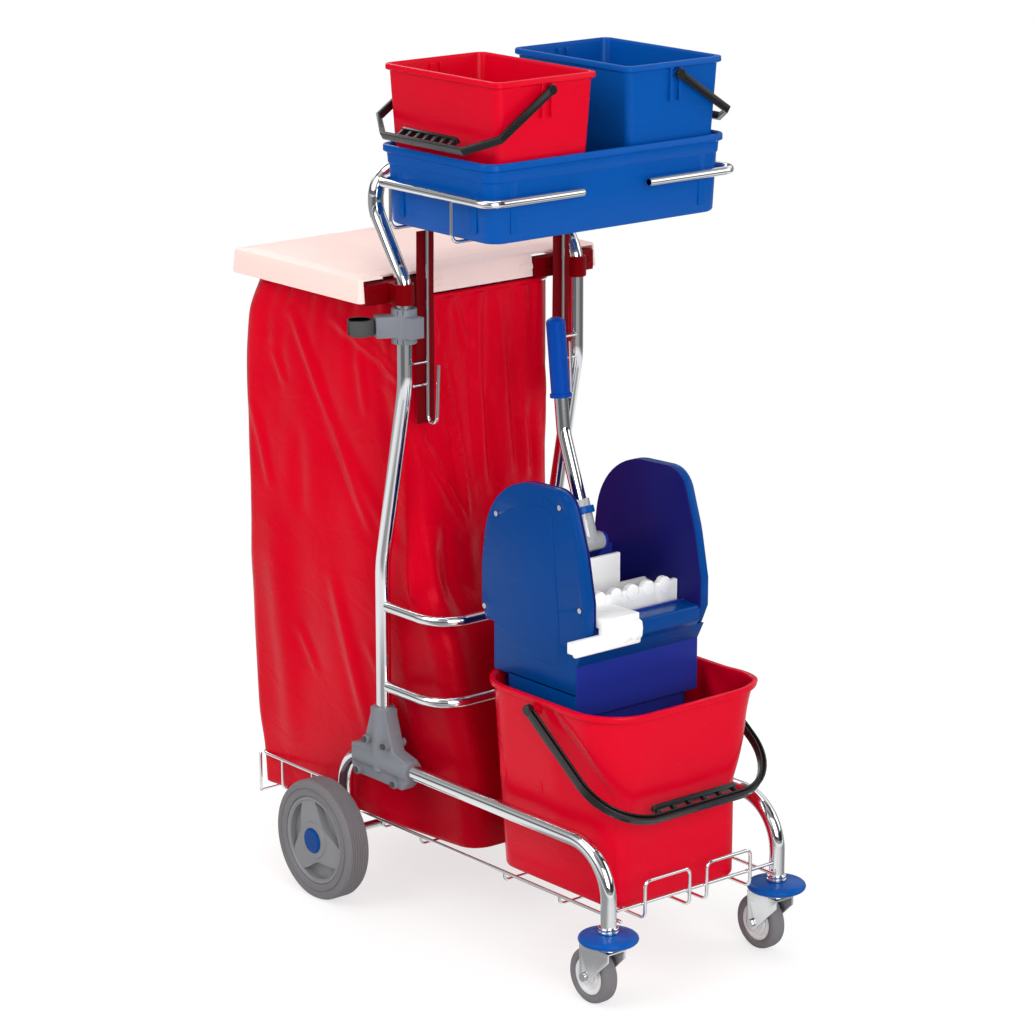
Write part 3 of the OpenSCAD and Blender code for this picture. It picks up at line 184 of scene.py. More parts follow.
class Effects:
    """Shader node groups that several finishes share."""

    NUMBER = "NodeSocketFloat"
    POINT = "NodeSocketVector"
    TINT = "NodeSocketColor"

    def __init__(self) -> None:
        """Builds each group once."""
        self.skin = self._skin()
        self.weave = self._weave()

    def _group(self, name: str, inputs: dict[str, str], outputs: dict[str, str]) -> tuple[Graph, dict, dict]:
        """Starts a group.

        Args:
            name: the group's name.
            inputs: names and socket types of its inputs.
            outputs: names and socket types of its outputs.

        Returns:
            The graph, the inputs as sockets and the outputs as sockets.
        """
        tree = bpy.data.node_groups.new(name, "ShaderNodeTree")
        for label, kind in inputs.items():
            tree.interface.new_socket(name=label, in_out="INPUT", socket_type=kind)
        for label, kind in outputs.items():
            tree.interface.new_socket(name=label, in_out="OUTPUT", socket_type=kind)
        start = tree.nodes.new("NodeGroupInput")
        end = tree.nodes.new("NodeGroupOutput")
        return Graph(tree), start.outputs, end.inputs

    def _skin(self) -> bpy.types.NodeTree:
        """Slow drift of colour, fine grain, and faint scuffs that dull the gloss."""
        graph, given, made = self._group(
            "worked_skin",
            {"Point": self.POINT, "Colour": self.TINT, "Drift": self.NUMBER, "Grain": self.NUMBER,
             "Scuff": self.NUMBER, "Gloss": self.NUMBER},
            {"Colour": self.TINT, "Roughness": self.NUMBER, "Height": self.NUMBER})
        cloud = graph.add("TexNoise", {"Vector": given["Point"], "Scale": 11.0, "Detail": 3.0})
        swing = graph.math("MULTIPLY", graph.math("SUBTRACT", cloud.outputs[0], 0.5), given["Drift"])
        shade = graph.add("VectorMath", operation="SCALE")
        graph.feed(given["Colour"], shade.inputs[0])
        graph.feed(graph.math("ADD", swing, 1.0), shade.inputs["Scale"])
        graph.feed(shade.outputs[0], made["Colour"])
        grain = graph.add("TexNoise", {"Vector": given["Point"], "Scale": given["Grain"], "Detail": 2.0})
        graph.feed(grain.outputs[0], made["Height"])
        long = graph.add("VectorMath", operation="MULTIPLY")
        graph.feed(given["Point"], long.inputs[0])
        long.inputs[1].default_value = (9.0, 9.0, 60.0)
        streak = graph.add("TexNoise", {"Vector": long.outputs[0], "Scale": 3.0, "Detail": 5.0})
        mask = graph.add("MapRange", {"Value": streak.outputs[0], "From Min": 0.56, "From Max": 0.74})
        dull = graph.math("MULTIPLY", mask.outputs[0], given["Scuff"])
        graph.feed(graph.math("ADD", given["Gloss"], dull), made["Roughness"])
        return graph.tree

    def _weave(self) -> bpy.types.NodeTree:
        """Crossing threads on a map in metres, with a slub that varies their height."""
        graph, given, made = self._group(
            "woven_threads", {"Map": self.POINT, "Threads": self.NUMBER},
            {"Height": self.NUMBER, "Shade": self.NUMBER})
        warp = graph.add("TexWave", {"Vector": given["Map"], "Scale": given["Threads"]}, bands_direction="X")
        weft = graph.add("TexWave", {"Vector": given["Map"], "Scale": given["Threads"]}, bands_direction="Y")
        slub = graph.add("TexNoise", {"Vector": given["Map"], "Scale": 190.0, "Detail": 2.0})
        cloth = graph.math("MAXIMUM", warp.outputs["Fac"], weft.outputs["Fac"])
        graph.feed(graph.math("MULTIPLY", cloth, slub.outputs[0]), made["Height"])
        patch = graph.add("TexNoise", {"Vector": given["Map"], "Scale": 7.0, "Detail": 3.0})
        graph.feed(patch.outputs[0], made["Shade"])
        return graph.tree


def grey(level: float) -> tuple[float, float, float, float]:
    """A grey with full cover."""
    return (level, level, level, 1.0)


def shine(colour: Colour) -> tuple[float, float, float, float]:
    """The tint of what a surface mirrors: mostly its own, so that a strong colour stays strong."""
    top = max(colour)
    return (*(0.1 + 0.9 * c / top for c in colour), 1.0)


def blank(name: str) -> tuple[bpy.types.Material, Graph, bpy.types.Node]:
    """A new material, its graph and its shader."""
    made = bpy.data.materials.new(name)
    made.use_nodes = True
    return made, Graph(made.node_tree), made.node_tree.nodes["Principled BSDF"]


class Surface:
    """What every finish does: it makes its material once."""

    name: str

    def material(self, effects: Effects) -> bpy.types.Material:
        """The material, which is made when it is first asked for."""
        return bpy.data.materials.get(self.name) or self._make(effects)


@dataclass(frozen=True)
class Finish(Surface):
    """A rigid surface: its colour, gloss and fine texture."""

    name: str
    colour: Colour
    gloss: float
    drift: float = 0.12
    grain: float = 900.0
    relief: float = 0.08
    scuff: float = 0.12
    metallic: float = 0.0
    coat: float = 0.0
    specular: float = 0.5

    def _make(self, effects: Effects) -> bpy.types.Material:
        """Makes the material.

        Args:
            effects: the shared node groups.

        Returns:
            The material.
        """
        made, graph, shader = blank(self.name)
        where = graph.add("TexCoord")
        skin = graph.add("Group", node_tree=effects.skin)
        for label, value in (("Point", where.outputs["Object"]), ("Colour", (*self.colour, 1.0)),
                             ("Drift", self.drift), ("Grain", self.grain), ("Scuff", self.scuff),
                             ("Gloss", self.gloss)):
            graph.feed(value, skin.inputs[label])
        bump = graph.add("Bump", {"Height": skin.outputs["Height"], "Strength": self.relief,
                                  "Distance": GRAIN_DEPTH})
        for label, value in (("Base Color", skin.outputs["Colour"]), ("Roughness", skin.outputs["Roughness"]),
                             ("Normal", bump.outputs[0]), ("Metallic", self.metallic),
                             ("Coat Weight", self.coat), ("Coat Roughness", COAT_GLOSS),
                             ("Specular IOR Level", self.specular)):
            graph.feed(value, shader.inputs[label])
        if not self.metallic:
            shader.inputs["Specular Tint"].default_value = shine(self.colour)
        return made


@dataclass(frozen=True)
class Cloth(Surface):
    """A woven surface that follows the piece's own map."""

    name: str
    colour: Colour
    gloss: float
    threads: float
    relief: float
    sheen: float
    crumple: float = 0.0
    specular: float = 0.3
    low_shade: float = 0.0

    def _make(self, effects: Effects) -> bpy.types.Material:
        """Makes the material.

        Args:
            effects: the shared node groups.

        Returns:
            The material.
        """
        made, graph, shader = blank(self.name)
        where = graph.add("UVMap")
        weave = graph.add("Group", node_tree=effects.weave)
        graph.feed(where.outputs[0], weave.inputs["Map"])
        graph.feed(self.threads, weave.inputs["Threads"])
        tint = graph.tint(weave.outputs["Shade"], self._dark(0.78), self._dark(1.0))
        graph.feed(self._shaded(graph, tint), shader.inputs["Base Color"])
        rough = graph.add("MapRange", {"Value": weave.outputs["Shade"], "To Min": self.gloss - 0.06,
                                       "To Max": self.gloss + 0.1})
        graph.feed(rough.outputs[0], shader.inputs["Roughness"])
        threads = graph.add("Bump", {"Height": weave.outputs["Height"], "Strength": self.relief,
                                     "Distance": GRAIN_DEPTH})
        normal = threads.outputs[0]
        if self.crumple:
            creases = graph.add("TexNoise", {"Vector": where.outputs[0], "Scale": 16.0, "Detail": 5.0,
                                             "Roughness": 0.62, "Distortion": 0.9})
            worn = graph.add("Bump", {"Height": creases.outputs[0], "Strength": self.crumple,
                                      "Distance": 0.008, "Normal": normal})
            normal = worn.outputs[0]
        for label, value in (("Normal", normal), ("Specular IOR Level", self.specular),
                             ("Specular Tint", shine(self.colour)), ("Sheen Weight", self.sheen),
                             ("Sheen Roughness", 0.4)):
            graph.feed(value, shader.inputs[label])
        return made

    def _dark(self, share: float) -> tuple[float, float, float, float]:
        """The cloth's colour, darkened to a share of itself."""
        return (*(share * c for c in self.colour), 1.0)

    def _shaded(self, graph: Graph, colour: Socket) -> Socket:
        """Darkens the low front of the cloth, where the light between bag and bucket is dim."""
        if not self.low_shade:
            return colour
        split = graph.add("SeparateXYZ", {"Vector": graph.add("TexCoord").outputs["Object"]})
        ahead = graph.add("MapRange", {"Value": split.outputs["X"], "From Min": -0.16, "From Max": -0.08})
        low = graph.add("MapRange", {"Value": split.outputs["Z"], "From Min": 0.5, "From Max": 0.38})
        both = graph.math("MULTIPLY", ahead.outputs[0], low.outputs[0])
        return graph.tint(graph.math("MULTIPLY", both, self.low_shade), colour, self._dark(0.25))


CHROME = Finish("chrome_tube", (0.82, 0.83, 0.85), 0.05, 0.05, 500, 0.02, 0.08, metallic=1.0)
STEEL = Finish("plain_steel", (0.56, 0.57, 0.59), 0.26, 0.12, 700, 0.06, 0.15, metallic=1.0)
FORK_STEEL = Finish("zinced_fork", (0.8, 0.81, 0.82), 0.2, 0.1, 500, 0.06, 0.14, metallic=1.0)
RED = Finish("red_moulding", screen(216, 0, 36), 0.22, 0.1, coat=0.2, specular=0.08)
BRACKET_RED = Finish("dark_red_moulding", screen(118, 0, 8), 0.42, specular=0.2)
BLUE = Finish("blue_moulding", screen(0, 80, 164), 0.22, 0.1, coat=0.2, specular=0.08)
CHEEK_BLUE = Finish("cheek_moulding", screen(0, 64, 136), 0.22, 0.1, coat=0.16, specular=0.08)
VIOLET_BLUE = Finish("deep_blue_moulding", screen(34, 48, 142), 0.3, 0.1, specular=0.2)
# Painted shade: a darker, more violet copy of the wringer's blue for the side plates, whose inner faces are
# seen in shade with red light thrown back on them.
PAINTED_SHADE_BLUE = Finish("shaded_blue_moulding", screen(26, 26, 98), 0.34, 0.1, specular=0.2)
GRIP_BLUE = Finish("blue_grip", screen(8, 66, 156), 0.32, grain=1400, relief=0.14, specular=0.3)
GREY = Finish("grey_moulding", screen(124, 127, 134), 0.46, relief=0.14, specular=0.3)
SOCKET_GREY = Finish("socket_casting", screen(188, 189, 192), 0.32, relief=0.14, metallic=0.3)
WHEEL_GREY = Finish("wheel_moulding", screen(134, 134, 137), 0.46, relief=0.16, specular=0.3)
TYRE_GREY = Finish("grey_rubber", screen(120, 118, 121), 0.7, 0.18, 700, 0.3, 0.1, specular=0.25)
RIM = Finish("caster_rim", screen(204, 202, 205), 0.34, metallic=0.3)
BLACK = Finish("black_moulding", screen(22, 22, 23), 0.24, relief=0.14, specular=0.5)
RUBBER = Finish("black_rubber", screen(18, 18, 19), 0.5, relief=0.25, specular=0.2)
WHITE = Finish("white_moulding", screen(250, 250, 249), 0.36, drift=0.04, specular=0.3)
PEACH = Finish("pale_moulding", screen(251, 220, 212), 0.44, drift=0.05, specular=0.3)
BAG_RED = Cloth("bag_cloth", screen(220, 0, 34), 0.28, 210.0, 0.08, 0.0, crumple=0.3, low_shade=0.55)
# Painted shade: the straps hang under the tray, and their red is darkened to the shade seen there.
STRAP_RED_IN_SHADE = Cloth("webbing", screen(112, 0, 10), 0.62, 130.0, 0.6, 0.1)


class Bench:
    """Modelling operators, used as by hand."""

    @staticmethod
    def only(piece: Piece) -> None:
        """Selects one piece and nothing else."""
        bpy.ops.object.select_all(action="DESELECT")
        piece.select_set(True)
        bpy.context.view_layer.objects.active = piece

    @staticmethod
    @contextmanager
    def editing(piece: Piece) -> Iterator[None]:
        """Opens a piece in edit mode for the length of a with block."""
        Bench.only(piece)
        bpy.ops.object.mode_set(mode="EDIT")
        yield
        bpy.ops.object.mode_set(mode="OBJECT")

    @staticmethod
    def pick(piece: Piece, part: Part, test: Callable[[object], bool]) -> None:
        """Selects the elements that pass a test, in edit mode.

        Args:
            piece: the piece in edit mode.
            part: the kind of element.
            test: says whether an element is picked.
        """
        bpy.ops.mesh.select_mode(type=part.value)
        bpy.ops.mesh.select_all(action="DESELECT")
        mesh = bmesh.from_edit_mesh(piece.data)
        for element in mesh.faces if part is Part.FACE else mesh.edges:
            element.select_set(bool(test(element)))
        bmesh.update_edit_mesh(piece.data)

    @staticmethod
    def fresh() -> None:
        """Deselects everything before a primitive is added."""
        bpy.ops.object.select_all(action="DESELECT")

    @staticmethod
    def apply(piece: Piece, name: str) -> None:
        """Applies one modifier."""
        Bench.only(piece)
        bpy.ops.object.modifier_apply(modifier=name)

    @staticmethod
    def box(low: Vector, high: Vector, edge: float) -> Piece:
        """A block with rounded edges.

        Args:
            low: its lowest corner.
            high: its highest corner.
            edge: the radius of its edges, in metres.

        Returns:
            The block.
        """
        Bench.fresh()
        bpy.ops.mesh.primitive_cube_add(size=1.0, location=(low + high) / 2, scale=high - low)
        piece = bpy.context.active_object
        bpy.ops.object.transform_apply(location=True, rotation=True, scale=True)
        with Bench.editing(piece):
            bpy.ops.mesh.select_all(action="SELECT")
            bpy.ops.mesh.bevel(offset=edge, segments=3, affect="EDGES")
        return piece

    @staticmethod
    def block(xs: Span, ys: Span, zs: Span, edge: float) -> Piece:
        """A block between places in millimetres.

        Args:
            xs: where it starts and ends along X, in any order.
            ys: the same along Y.
            zs: the same along Z.
            edge: the radius of its edges, in millimetres.

        Returns:
            The block.
        """
        low, high = (place(*corner) for corner in zip(*(sorted(span) for span in (xs, ys, zs))))
        return Bench.box(low, high, edge * MM)

    @staticmethod
    def outline(points: Sequence[Vector]) -> Piece:
        """A closed line through points, started as a circle."""
        Bench.fresh()
        bpy.ops.mesh.primitive_circle_add(vertices=len(points), radius=0.01, fill_type="NOTHING")
        piece = bpy.context.active_object
        for vertex, point in zip(piece.data.vertices, points):
            vertex.co = point
        return piece

    @staticmethod
    def plate(points: Sequence[Vector], push: Vector, edge: float) -> Piece:
        """A flat outline pushed out to a plate with rounded edges.

        Args:
            points: the outline.
            push: how far and which way it is extruded.
            edge: the radius of its edges, in metres.

        Returns:
            The plate.
        """
        piece = Bench.outline(points)
        with Bench.editing(piece):
            bpy.ops.mesh.select_all(action="SELECT")
            bpy.ops.mesh.edge_face_add()
            bpy.ops.mesh.extrude_region_move(TRANSFORM_OT_translate={"value": push})
            bpy.ops.mesh.select_all(action="SELECT")
            bpy.ops.mesh.normals_make_consistent(inside=False)
        Bench.round_edges(piece, edge)
        return piece

    @staticmethod
    def slab(line: Sequence[Span], start: float, end: float, edge: float) -> Piece:
        """An outline of X and Z, pushed along Y from start to end, in millimetres."""
        push = Vector((0, (end - start) * MM, 0))
        return Bench.plate([place(x, start, z) for x, z in line], push, edge * MM)

    @staticmethod
    def turned(profile: Sequence[Span], to_place: Matrix, steps: int = 96) -> Piece:
        """A closed profile spun round an axis.

        Args:
            profile: points as radius and distance along the axis, in millimetres.
            to_place: moves the axis from Z to its place.
            steps: the number of faces round the axis.

        Returns:
            The turned piece.
        """
        piece = Bench.outline([Vector((r * MM, 0.0, a * MM)) for r, a in profile])
        with Bench.editing(piece):
            bpy.ops.mesh.select_all(action="SELECT")
            bpy.ops.mesh.spin(steps=steps, angle=math.tau, center=(0, 0, 0), axis=(0, 0, 1))
            bpy.ops.mesh.select_all(action="SELECT")
            bpy.ops.mesh.remove_doubles(threshold=1e-6)
            bpy.ops.mesh.normals_make_consistent(inside=False)
        piece.data.transform(to_place)
        if to_place.determinant() < 0:
            piece.data.flip_normals()
        return piece

    @staticmethod
    def lofted(points: np.ndarray) -> Piece:
        """A grid laid on closed outlines, still open along its seam.

        Args:
            points: places in millimetres by row and column; a row of equal points closes an end.

        Returns:
            The shell, whose last column lies on its first.
        """
        rows, columns = points.shape[:2]
        Bench.fresh()
        bpy.ops.mesh.primitive_grid_add(x_subdivisions=columns, y_subdivisions=rows - 1, size=1.0)
        piece = bpy.context.active_object
        closed = np.concatenate([points, points[:, :1]], axis=1) - (MID_X, 0.0, 0.0)
        piece.data.vertices.foreach_set("co", (closed * MM).astype(np.float32).ravel())
        return piece

    @staticmethod
    def sew(piece: Piece) -> None:
        """Closes the seam and the ends of a lofted piece, and turns its faces outwards."""
        with Bench.editing(piece):
            bpy.ops.mesh.select_all(action="SELECT")
            bpy.ops.mesh.remove_doubles(threshold=1e-6)
            bpy.ops.mesh.normals_make_consistent(inside=False)

    @staticmethod
    def cut(piece: Piece, *tools: Piece) -> Piece:
        """Takes the shapes of tools out of a piece.

        Args:
            piece: the closed mesh that is cut.
            tools: closed meshes that don't touch each other.

        Returns:
            The piece.
        """
        tool = Bench.join(*tools)
        hole = piece.modifiers.new("hole", "BOOLEAN")
        hole.object = tool
        Bench.apply(piece, "hole")
        bpy.data.objects.remove(tool)
        return piece

    @staticmethod
    def round_edges(piece: Piece, edge: float, segments: int = 3) -> None:
        """Rounds the sharp edges of a piece.

        Args:
            piece: the piece.
            edge: the radius, in metres.
            segments: the faces across a rounded edge.
        """
        bevel = piece.modifiers.new("edges", "BEVEL")
        bevel.width = edge
        bevel.segments = segments
        bevel.limit_method = "ANGLE"
        bevel.angle_limit = math.radians(38)
        bevel.use_clamp_overlap = False
        Bench.apply(piece, "edges")

    @staticmethod
    def join(main: Piece, *others: Piece) -> Piece:
        """Makes several pieces one."""
        Bench.fresh()
        for other in others:
            other.select_set(True)
        main.select_set(True)
        bpy.context.view_layer.objects.active = main
        bpy.ops.object.join()
        return main

    @staticmethod
    def copy_of(node: str) -> Piece:
        """A merged copy of a CAD node's mesh, with flat faces made whole.

        Args:
            node: the CAD node's name.

        Returns:
            The copy, as a piece of its own.
        """
        piece = bpy.data.objects.new(node + "_copy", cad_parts[node].data.copy())
        bpy.context.scene.collection.objects.link(piece)
        Bench.only(piece)
        bpy.ops.mesh.customdata_custom_splitnormals_clear()
        with Bench.editing(piece):
            bpy.ops.mesh.select_all(action="SELECT")
            bpy.ops.mesh.remove_doubles(threshold=1e-5)
            bpy.ops.mesh.dissolve_limited(angle_limit=math.radians(0.6))
        return piece


@dataclass
class Assembly:
    """What every sub-assembly of the cart does with its finished pieces."""

    effects: Effects

    def settle(self, piece: Piece, name: str, body: str, slot: str, finish: Finish | Cloth,
               nodes: Sequence[str] = (), smooth: float = 34.0) -> Piece:
        """Names, smooths and dresses a piece, and lets it ride on its body.

        Args:
            piece: the finished mesh.
            name: the piece's name.
            body: the CAD body it moves with.
            slot: the record's material slot; not used.
            finish: its surface.
            nodes: the CAD nodes that it stands for.
            smooth: faces that meet under this angle, in degrees, are shaded as one.

        Returns:
            The piece.
        """
        piece.name = name
        piece.data.name = name
        Bench.only(piece)
        bpy.ops.object.shade_smooth_by_angle(angle=math.radians(smooth))
        piece.data.materials.clear()
        piece.data.materials.append(finish.material(self.effects))
        for face in piece.data.polygons:
            face.material_index = 0
        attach(piece, body)
        if nodes:
            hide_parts(*nodes)
        LOG.info("%s rides on %s", name, body)
        return piece

    def dress(self, node: str, finish: Finish) -> None:
        """Gives a CAD node a finish."""
        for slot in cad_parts[node].material_slots:
            slot.material = finish.material(self.effects)
        LOG.info("%s keeps its CAD shape", node)

    def soften(self, node: str, body: str, slot: str, finish: Finish, edge: float) -> Piece:
        """Replaces a CAD node by a copy with rounded edges.

        Args:
            node: the CAD node.
            body: its body.
            slot: its material slot.
            finish: its surface.
            edge: the radius of its edges, in millimetres.

        Returns:
            The new piece.
        """
        piece = Bench.copy_of(node)
        Bench.round_edges(piece, edge * MM, 2)
        return self.settle(piece, node + "_moulded", body, slot, finish, [node])


class Ring(NamedTuple):
    """One level of a tub: its height, length, width and how far it is pushed along X."""

    z: float
    length: float
    width: float
    push: float = 0.0


def arcs_of(corners: Sequence[tuple[float, float, float, float]], count: int) -> list[np.ndarray]:
    """Quarter circles of so many points, each from its corner's middle, start in degrees and radius."""
    made = []
    for x, y, start, r in corners:
        a = np.radians(start + np.linspace(0, 90, count))
        made.append(np.c_[x + r * np.cos(a), y + r * np.sin(a)])
    return made


def joined(arcs: Sequence[np.ndarray], counts: Sequence[int]) -> np.ndarray:
    """A closed outline: each arc, then a straight run of so many points to the next."""
    runs = []
    for k, count in enumerate(counts):
        t = np.linspace(0, 1, count + 2)[1:-1, None]
        runs += [arcs[k], arcs[k][-1] * (1 - t) + arcs[(k + 1) % len(arcs)][0] * t]
    return np.concatenate(runs)


@dataclass
class Tub:
    """A moulded vessel that is drawn up ring by ring outside, over its rim, and down to its floor."""

    x: float
    y: float
    z: float
    corner: float
    rings: Sequence[Ring]

    def build(self) -> Piece:
        """Extrudes the top of a flat block from ring to ring.

        Returns:
            The vessel as one closed mesh.
        """
        first = self.rings[0]
        skin = 0.5
        Bench.fresh()
        bpy.ops.mesh.primitive_cube_add(
            size=1.0, location=place(self.x + first.push, self.y, self.z + first.z + skin / 2),
            scale=(first.length * MM, first.width * MM, skin * MM))
        piece = bpy.context.active_object
        bpy.ops.object.transform_apply(location=True, rotation=True, scale=True)
        with Bench.editing(piece):
            Bench.pick(piece, Part.EDGE, lambda e: abs(e.verts[0].co.z - e.verts[1].co.z) > skin * MM / 2)
            bpy.ops.mesh.bevel(offset=self.corner * MM, segments=9, affect="EDGES", clamp_overlap=False)
            Bench.pick(piece, Part.FACE, lambda f: f.normal.z > 0.9)
            before = first._replace(z=first.z + skin)
            for ring in self.rings[1:]:
                self._step(before, ring)
                before = ring
        return piece

    def _step(self, before: Ring, ring: Ring) -> None:
        """Extrudes the selected face to the next ring."""
        lift = ((ring.push - before.push) * MM, 0.0, (ring.z - before.z) * MM)
        bpy.ops.mesh.extrude_region_move(TRANSFORM_OT_translate={"value": lift})
        bpy.ops.transform.resize(
            value=(ring.length / before.length, ring.width / before.width, 1.0),
            center_override=place(self.x + ring.push, self.y, self.z + ring.z))


@dataclass
class Studio:
    """Camera, floor and lights."""

    azimuth: float = 50.25
    elevation: float = 15.25
    aim: tuple[float, float, float] = (62.75, 0.0, 495.0)
    aim_right: float = -40.7
    aim_up: float = 100.5
    distance: float = 5250.5
    lens: float = 128.7
    lamps: Sequence[tuple[str, tuple[float, float, float], float, float]] = (
        ("key", (-0.4, -3.2, 3.0), 2.6, 57.0),
        ("front", (3.6, -1.4, 1.8), 2.2, 82.0),
        ("fill", (2.6, 3.2, 2.0), 2.4, 26.0),
        ("rear", (-3.4, 0.8, 2.6), 2.2, 36.0),
        ("top", (0.0, 0.1, 4.2), 2.4, 34.0))

    def build(self) -> None:
        """Sets up the whole stage."""
        bpy.context.scene.view_settings.view_transform = "Standard"
        self._camera()
        self._floor()
        self._world()
        for name, spot, size, power in self.lamps:
            self._lamp(name, Vector(spot), size, power)

    def _camera(self) -> None:
        """Places the camera at the photograph's viewing angle."""
        turn = math.radians(self.azimuth)
        rise = math.radians(self.elevation)
        back = Vector((math.sin(turn) * math.cos(rise), -math.cos(turn) * math.cos(rise), math.sin(rise)))
        right = Vector((math.cos(turn), math.sin(turn), 0.0))
        up = back.cross(right)
        target = Vector(self.aim) + self.aim_right * right + self.aim_up * up
        camera = bpy.data.objects.new("camera", bpy.data.cameras.new("camera"))
        camera.data.lens = self.lens
        camera.data.sensor_width = 36.0
        camera.data.clip_end = 100.0
        camera.location = (target + self.distance * back) * MM
        camera.rotation_mode = "QUATERNION"
        camera.rotation_quaternion = (-back).to_track_quat("-Z", "Y")
        bpy.context.scene.collection.objects.link(camera)
        bpy.context.scene.camera = camera

    def _floor(self) -> None:
        """A pale floor that keeps a soft shadow."""
        Bench.fresh()
        bpy.ops.mesh.primitive_plane_add(size=60.0, location=(0, 0, -0.0004))
        floor = bpy.context.active_object
        floor.name = "floor"
        made, graph, shader = blank("pale_floor")
        made.node_tree.nodes.remove(shader)
        matt = graph.add("BsdfDiffuse", {"Color": grey(0.72)})
        seen = graph.add("BsdfDiffuse", {"Color": grey(0.4)})
        glow = graph.add("Emission", {"Color": grey(1.0), "Strength": 0.66})
        lit = graph.add("AddShader")
        graph.feed(seen.outputs[0], lit.inputs[0])
        graph.feed(glow.outputs[0], lit.inputs[1])
        where = graph.add("TexCoord").outputs["Object"]
        away = graph.add("VectorMath", {"Vector": where}, operation="LENGTH").outputs["Value"]
        far = graph.add("MapRange", {"Value": away, "From Min": 0.7, "From Max": 2.2})
        white = graph.add("Emission", {"Color": grey(1.0), "Strength": 1.0})
        ray = graph.add("LightPath")
        mirrored = graph.blend(ray.outputs["Is Glossy Ray"], matt, self._mirrored_floor(graph, where, away))
        shown = graph.blend(ray.outputs["Is Camera Ray"], mirrored, graph.blend(far.outputs[0], lit, white))
        graph.feed(shown.outputs[0], made.node_tree.nodes["Material Output"].inputs["Surface"])
        floor.data.materials.append(made)

    @staticmethod
    def _mirrored_floor(graph: Graph, where: Socket, away: Socket) -> bpy.types.Node:
        """What upright tubes mirror: a floor that darkens with distance, with darker sides.

        Args:
            graph: the floor's graph.
            where: the place on the floor.
            away: its distance from the cart's middle.

        Returns:
            The shader.
        """
        reach = 6.0
        share = graph.math("DIVIDE", away, reach)
        fade = graph.bands(share, ((0.06, 0.95), (0.2, 0.85), (0.27, 0.97), (0.4, 0.95), (0.5, 0.42),
                                   (1.0, 0.34)))
        sided = graph.bands(share, ((0.2, 1.0), (0.27, 0.15), (0.4, 0.15), (0.48, 1.0)))
        around = graph.add("TexGradient", {"Vector": where}, gradient_type="RADIAL")
        sides = graph.bands(around.outputs["Fac"], (
            (0.0, 1.0), (0.2, 1.0), (0.27, 0.36), (0.37, 0.4), (0.43, 1.0), (0.52, 0.9), (0.6, 0.3),
            (0.72, 0.4), (0.8, 1.0)))
        return graph.add("Emission", {"Color": graph.tint(sided, fade, sides, "MULTIPLY"), "Strength": 1.0})

    def _world(self) -> None:
        """Even light all round, and a room of pale and dark walls for what is glossy."""
        world = bpy.data.worlds.new("studio")
        bpy.context.scene.world = world
        world.use_nodes = True
        graph = Graph(world.node_tree)
        even = world.node_tree.nodes["Background"]
        even.inputs["Color"].default_value = grey(1.0)
        even.inputs["Strength"].default_value = 0.5
        where = graph.add("TexCoord").outputs["Generated"]
        split = graph.add("SeparateXYZ", {"Vector": where})
        height = graph.bands(split.outputs["Z"], (
            (0.0, 0.75), (0.03, 0.12), (0.2, 0.2), (0.3, 0.95), (0.62, 1.0), (0.7, 0.3), (1.0, 0.85)))
        around = graph.add("TexGradient", {"Vector": where}, gradient_type="RADIAL")
        walls = graph.bands(around.outputs["Fac"], (
            (0.0, 0.9), (0.07, 0.25), (0.15, 0.95), (0.3, 1.0), (0.35, 0.42), (0.42, 0.5), (0.47, 1.0),
            (0.55, 0.1), (0.63, 0.12), (0.69, 1.0), (0.85, 1.0), (0.92, 0.3)))
        tone = graph.tint(1.0, height, walls, "MULTIPLY")
        room = graph.add("Background", {"Color": tone, "Strength": 1.0})
        plain = graph.add("Background", {"Color": grey(1.0), "Strength": 1.0})
        ray = graph.add("LightPath")
        shiny = graph.blend(ray.outputs["Is Glossy Ray"], even, room)
        seen = graph.blend(ray.outputs["Is Camera Ray"], shiny, plain)
        graph.feed(seen.outputs[0], world.node_tree.nodes["World Output"].inputs["Surface"])

    @staticmethod
    def _lamp(name: str, spot: Vector, size: float, power: float) -> None:
        """A square soft box that faces the cart."""
        lamp = bpy.data.objects.new(name, bpy.data.lights.new(name, "AREA"))
        lamp.data.size = size
        lamp.data.energy = power
        lamp.location = spot
        lamp.rotation_mode = "QUATERNION"
        middle = Vector((0, 0, 0.6))
        lamp.rotation_quaternion = (middle - spot).to_track_quat("-Z", "Y")
        bpy.context.scene.collection.objects.link(lamp)


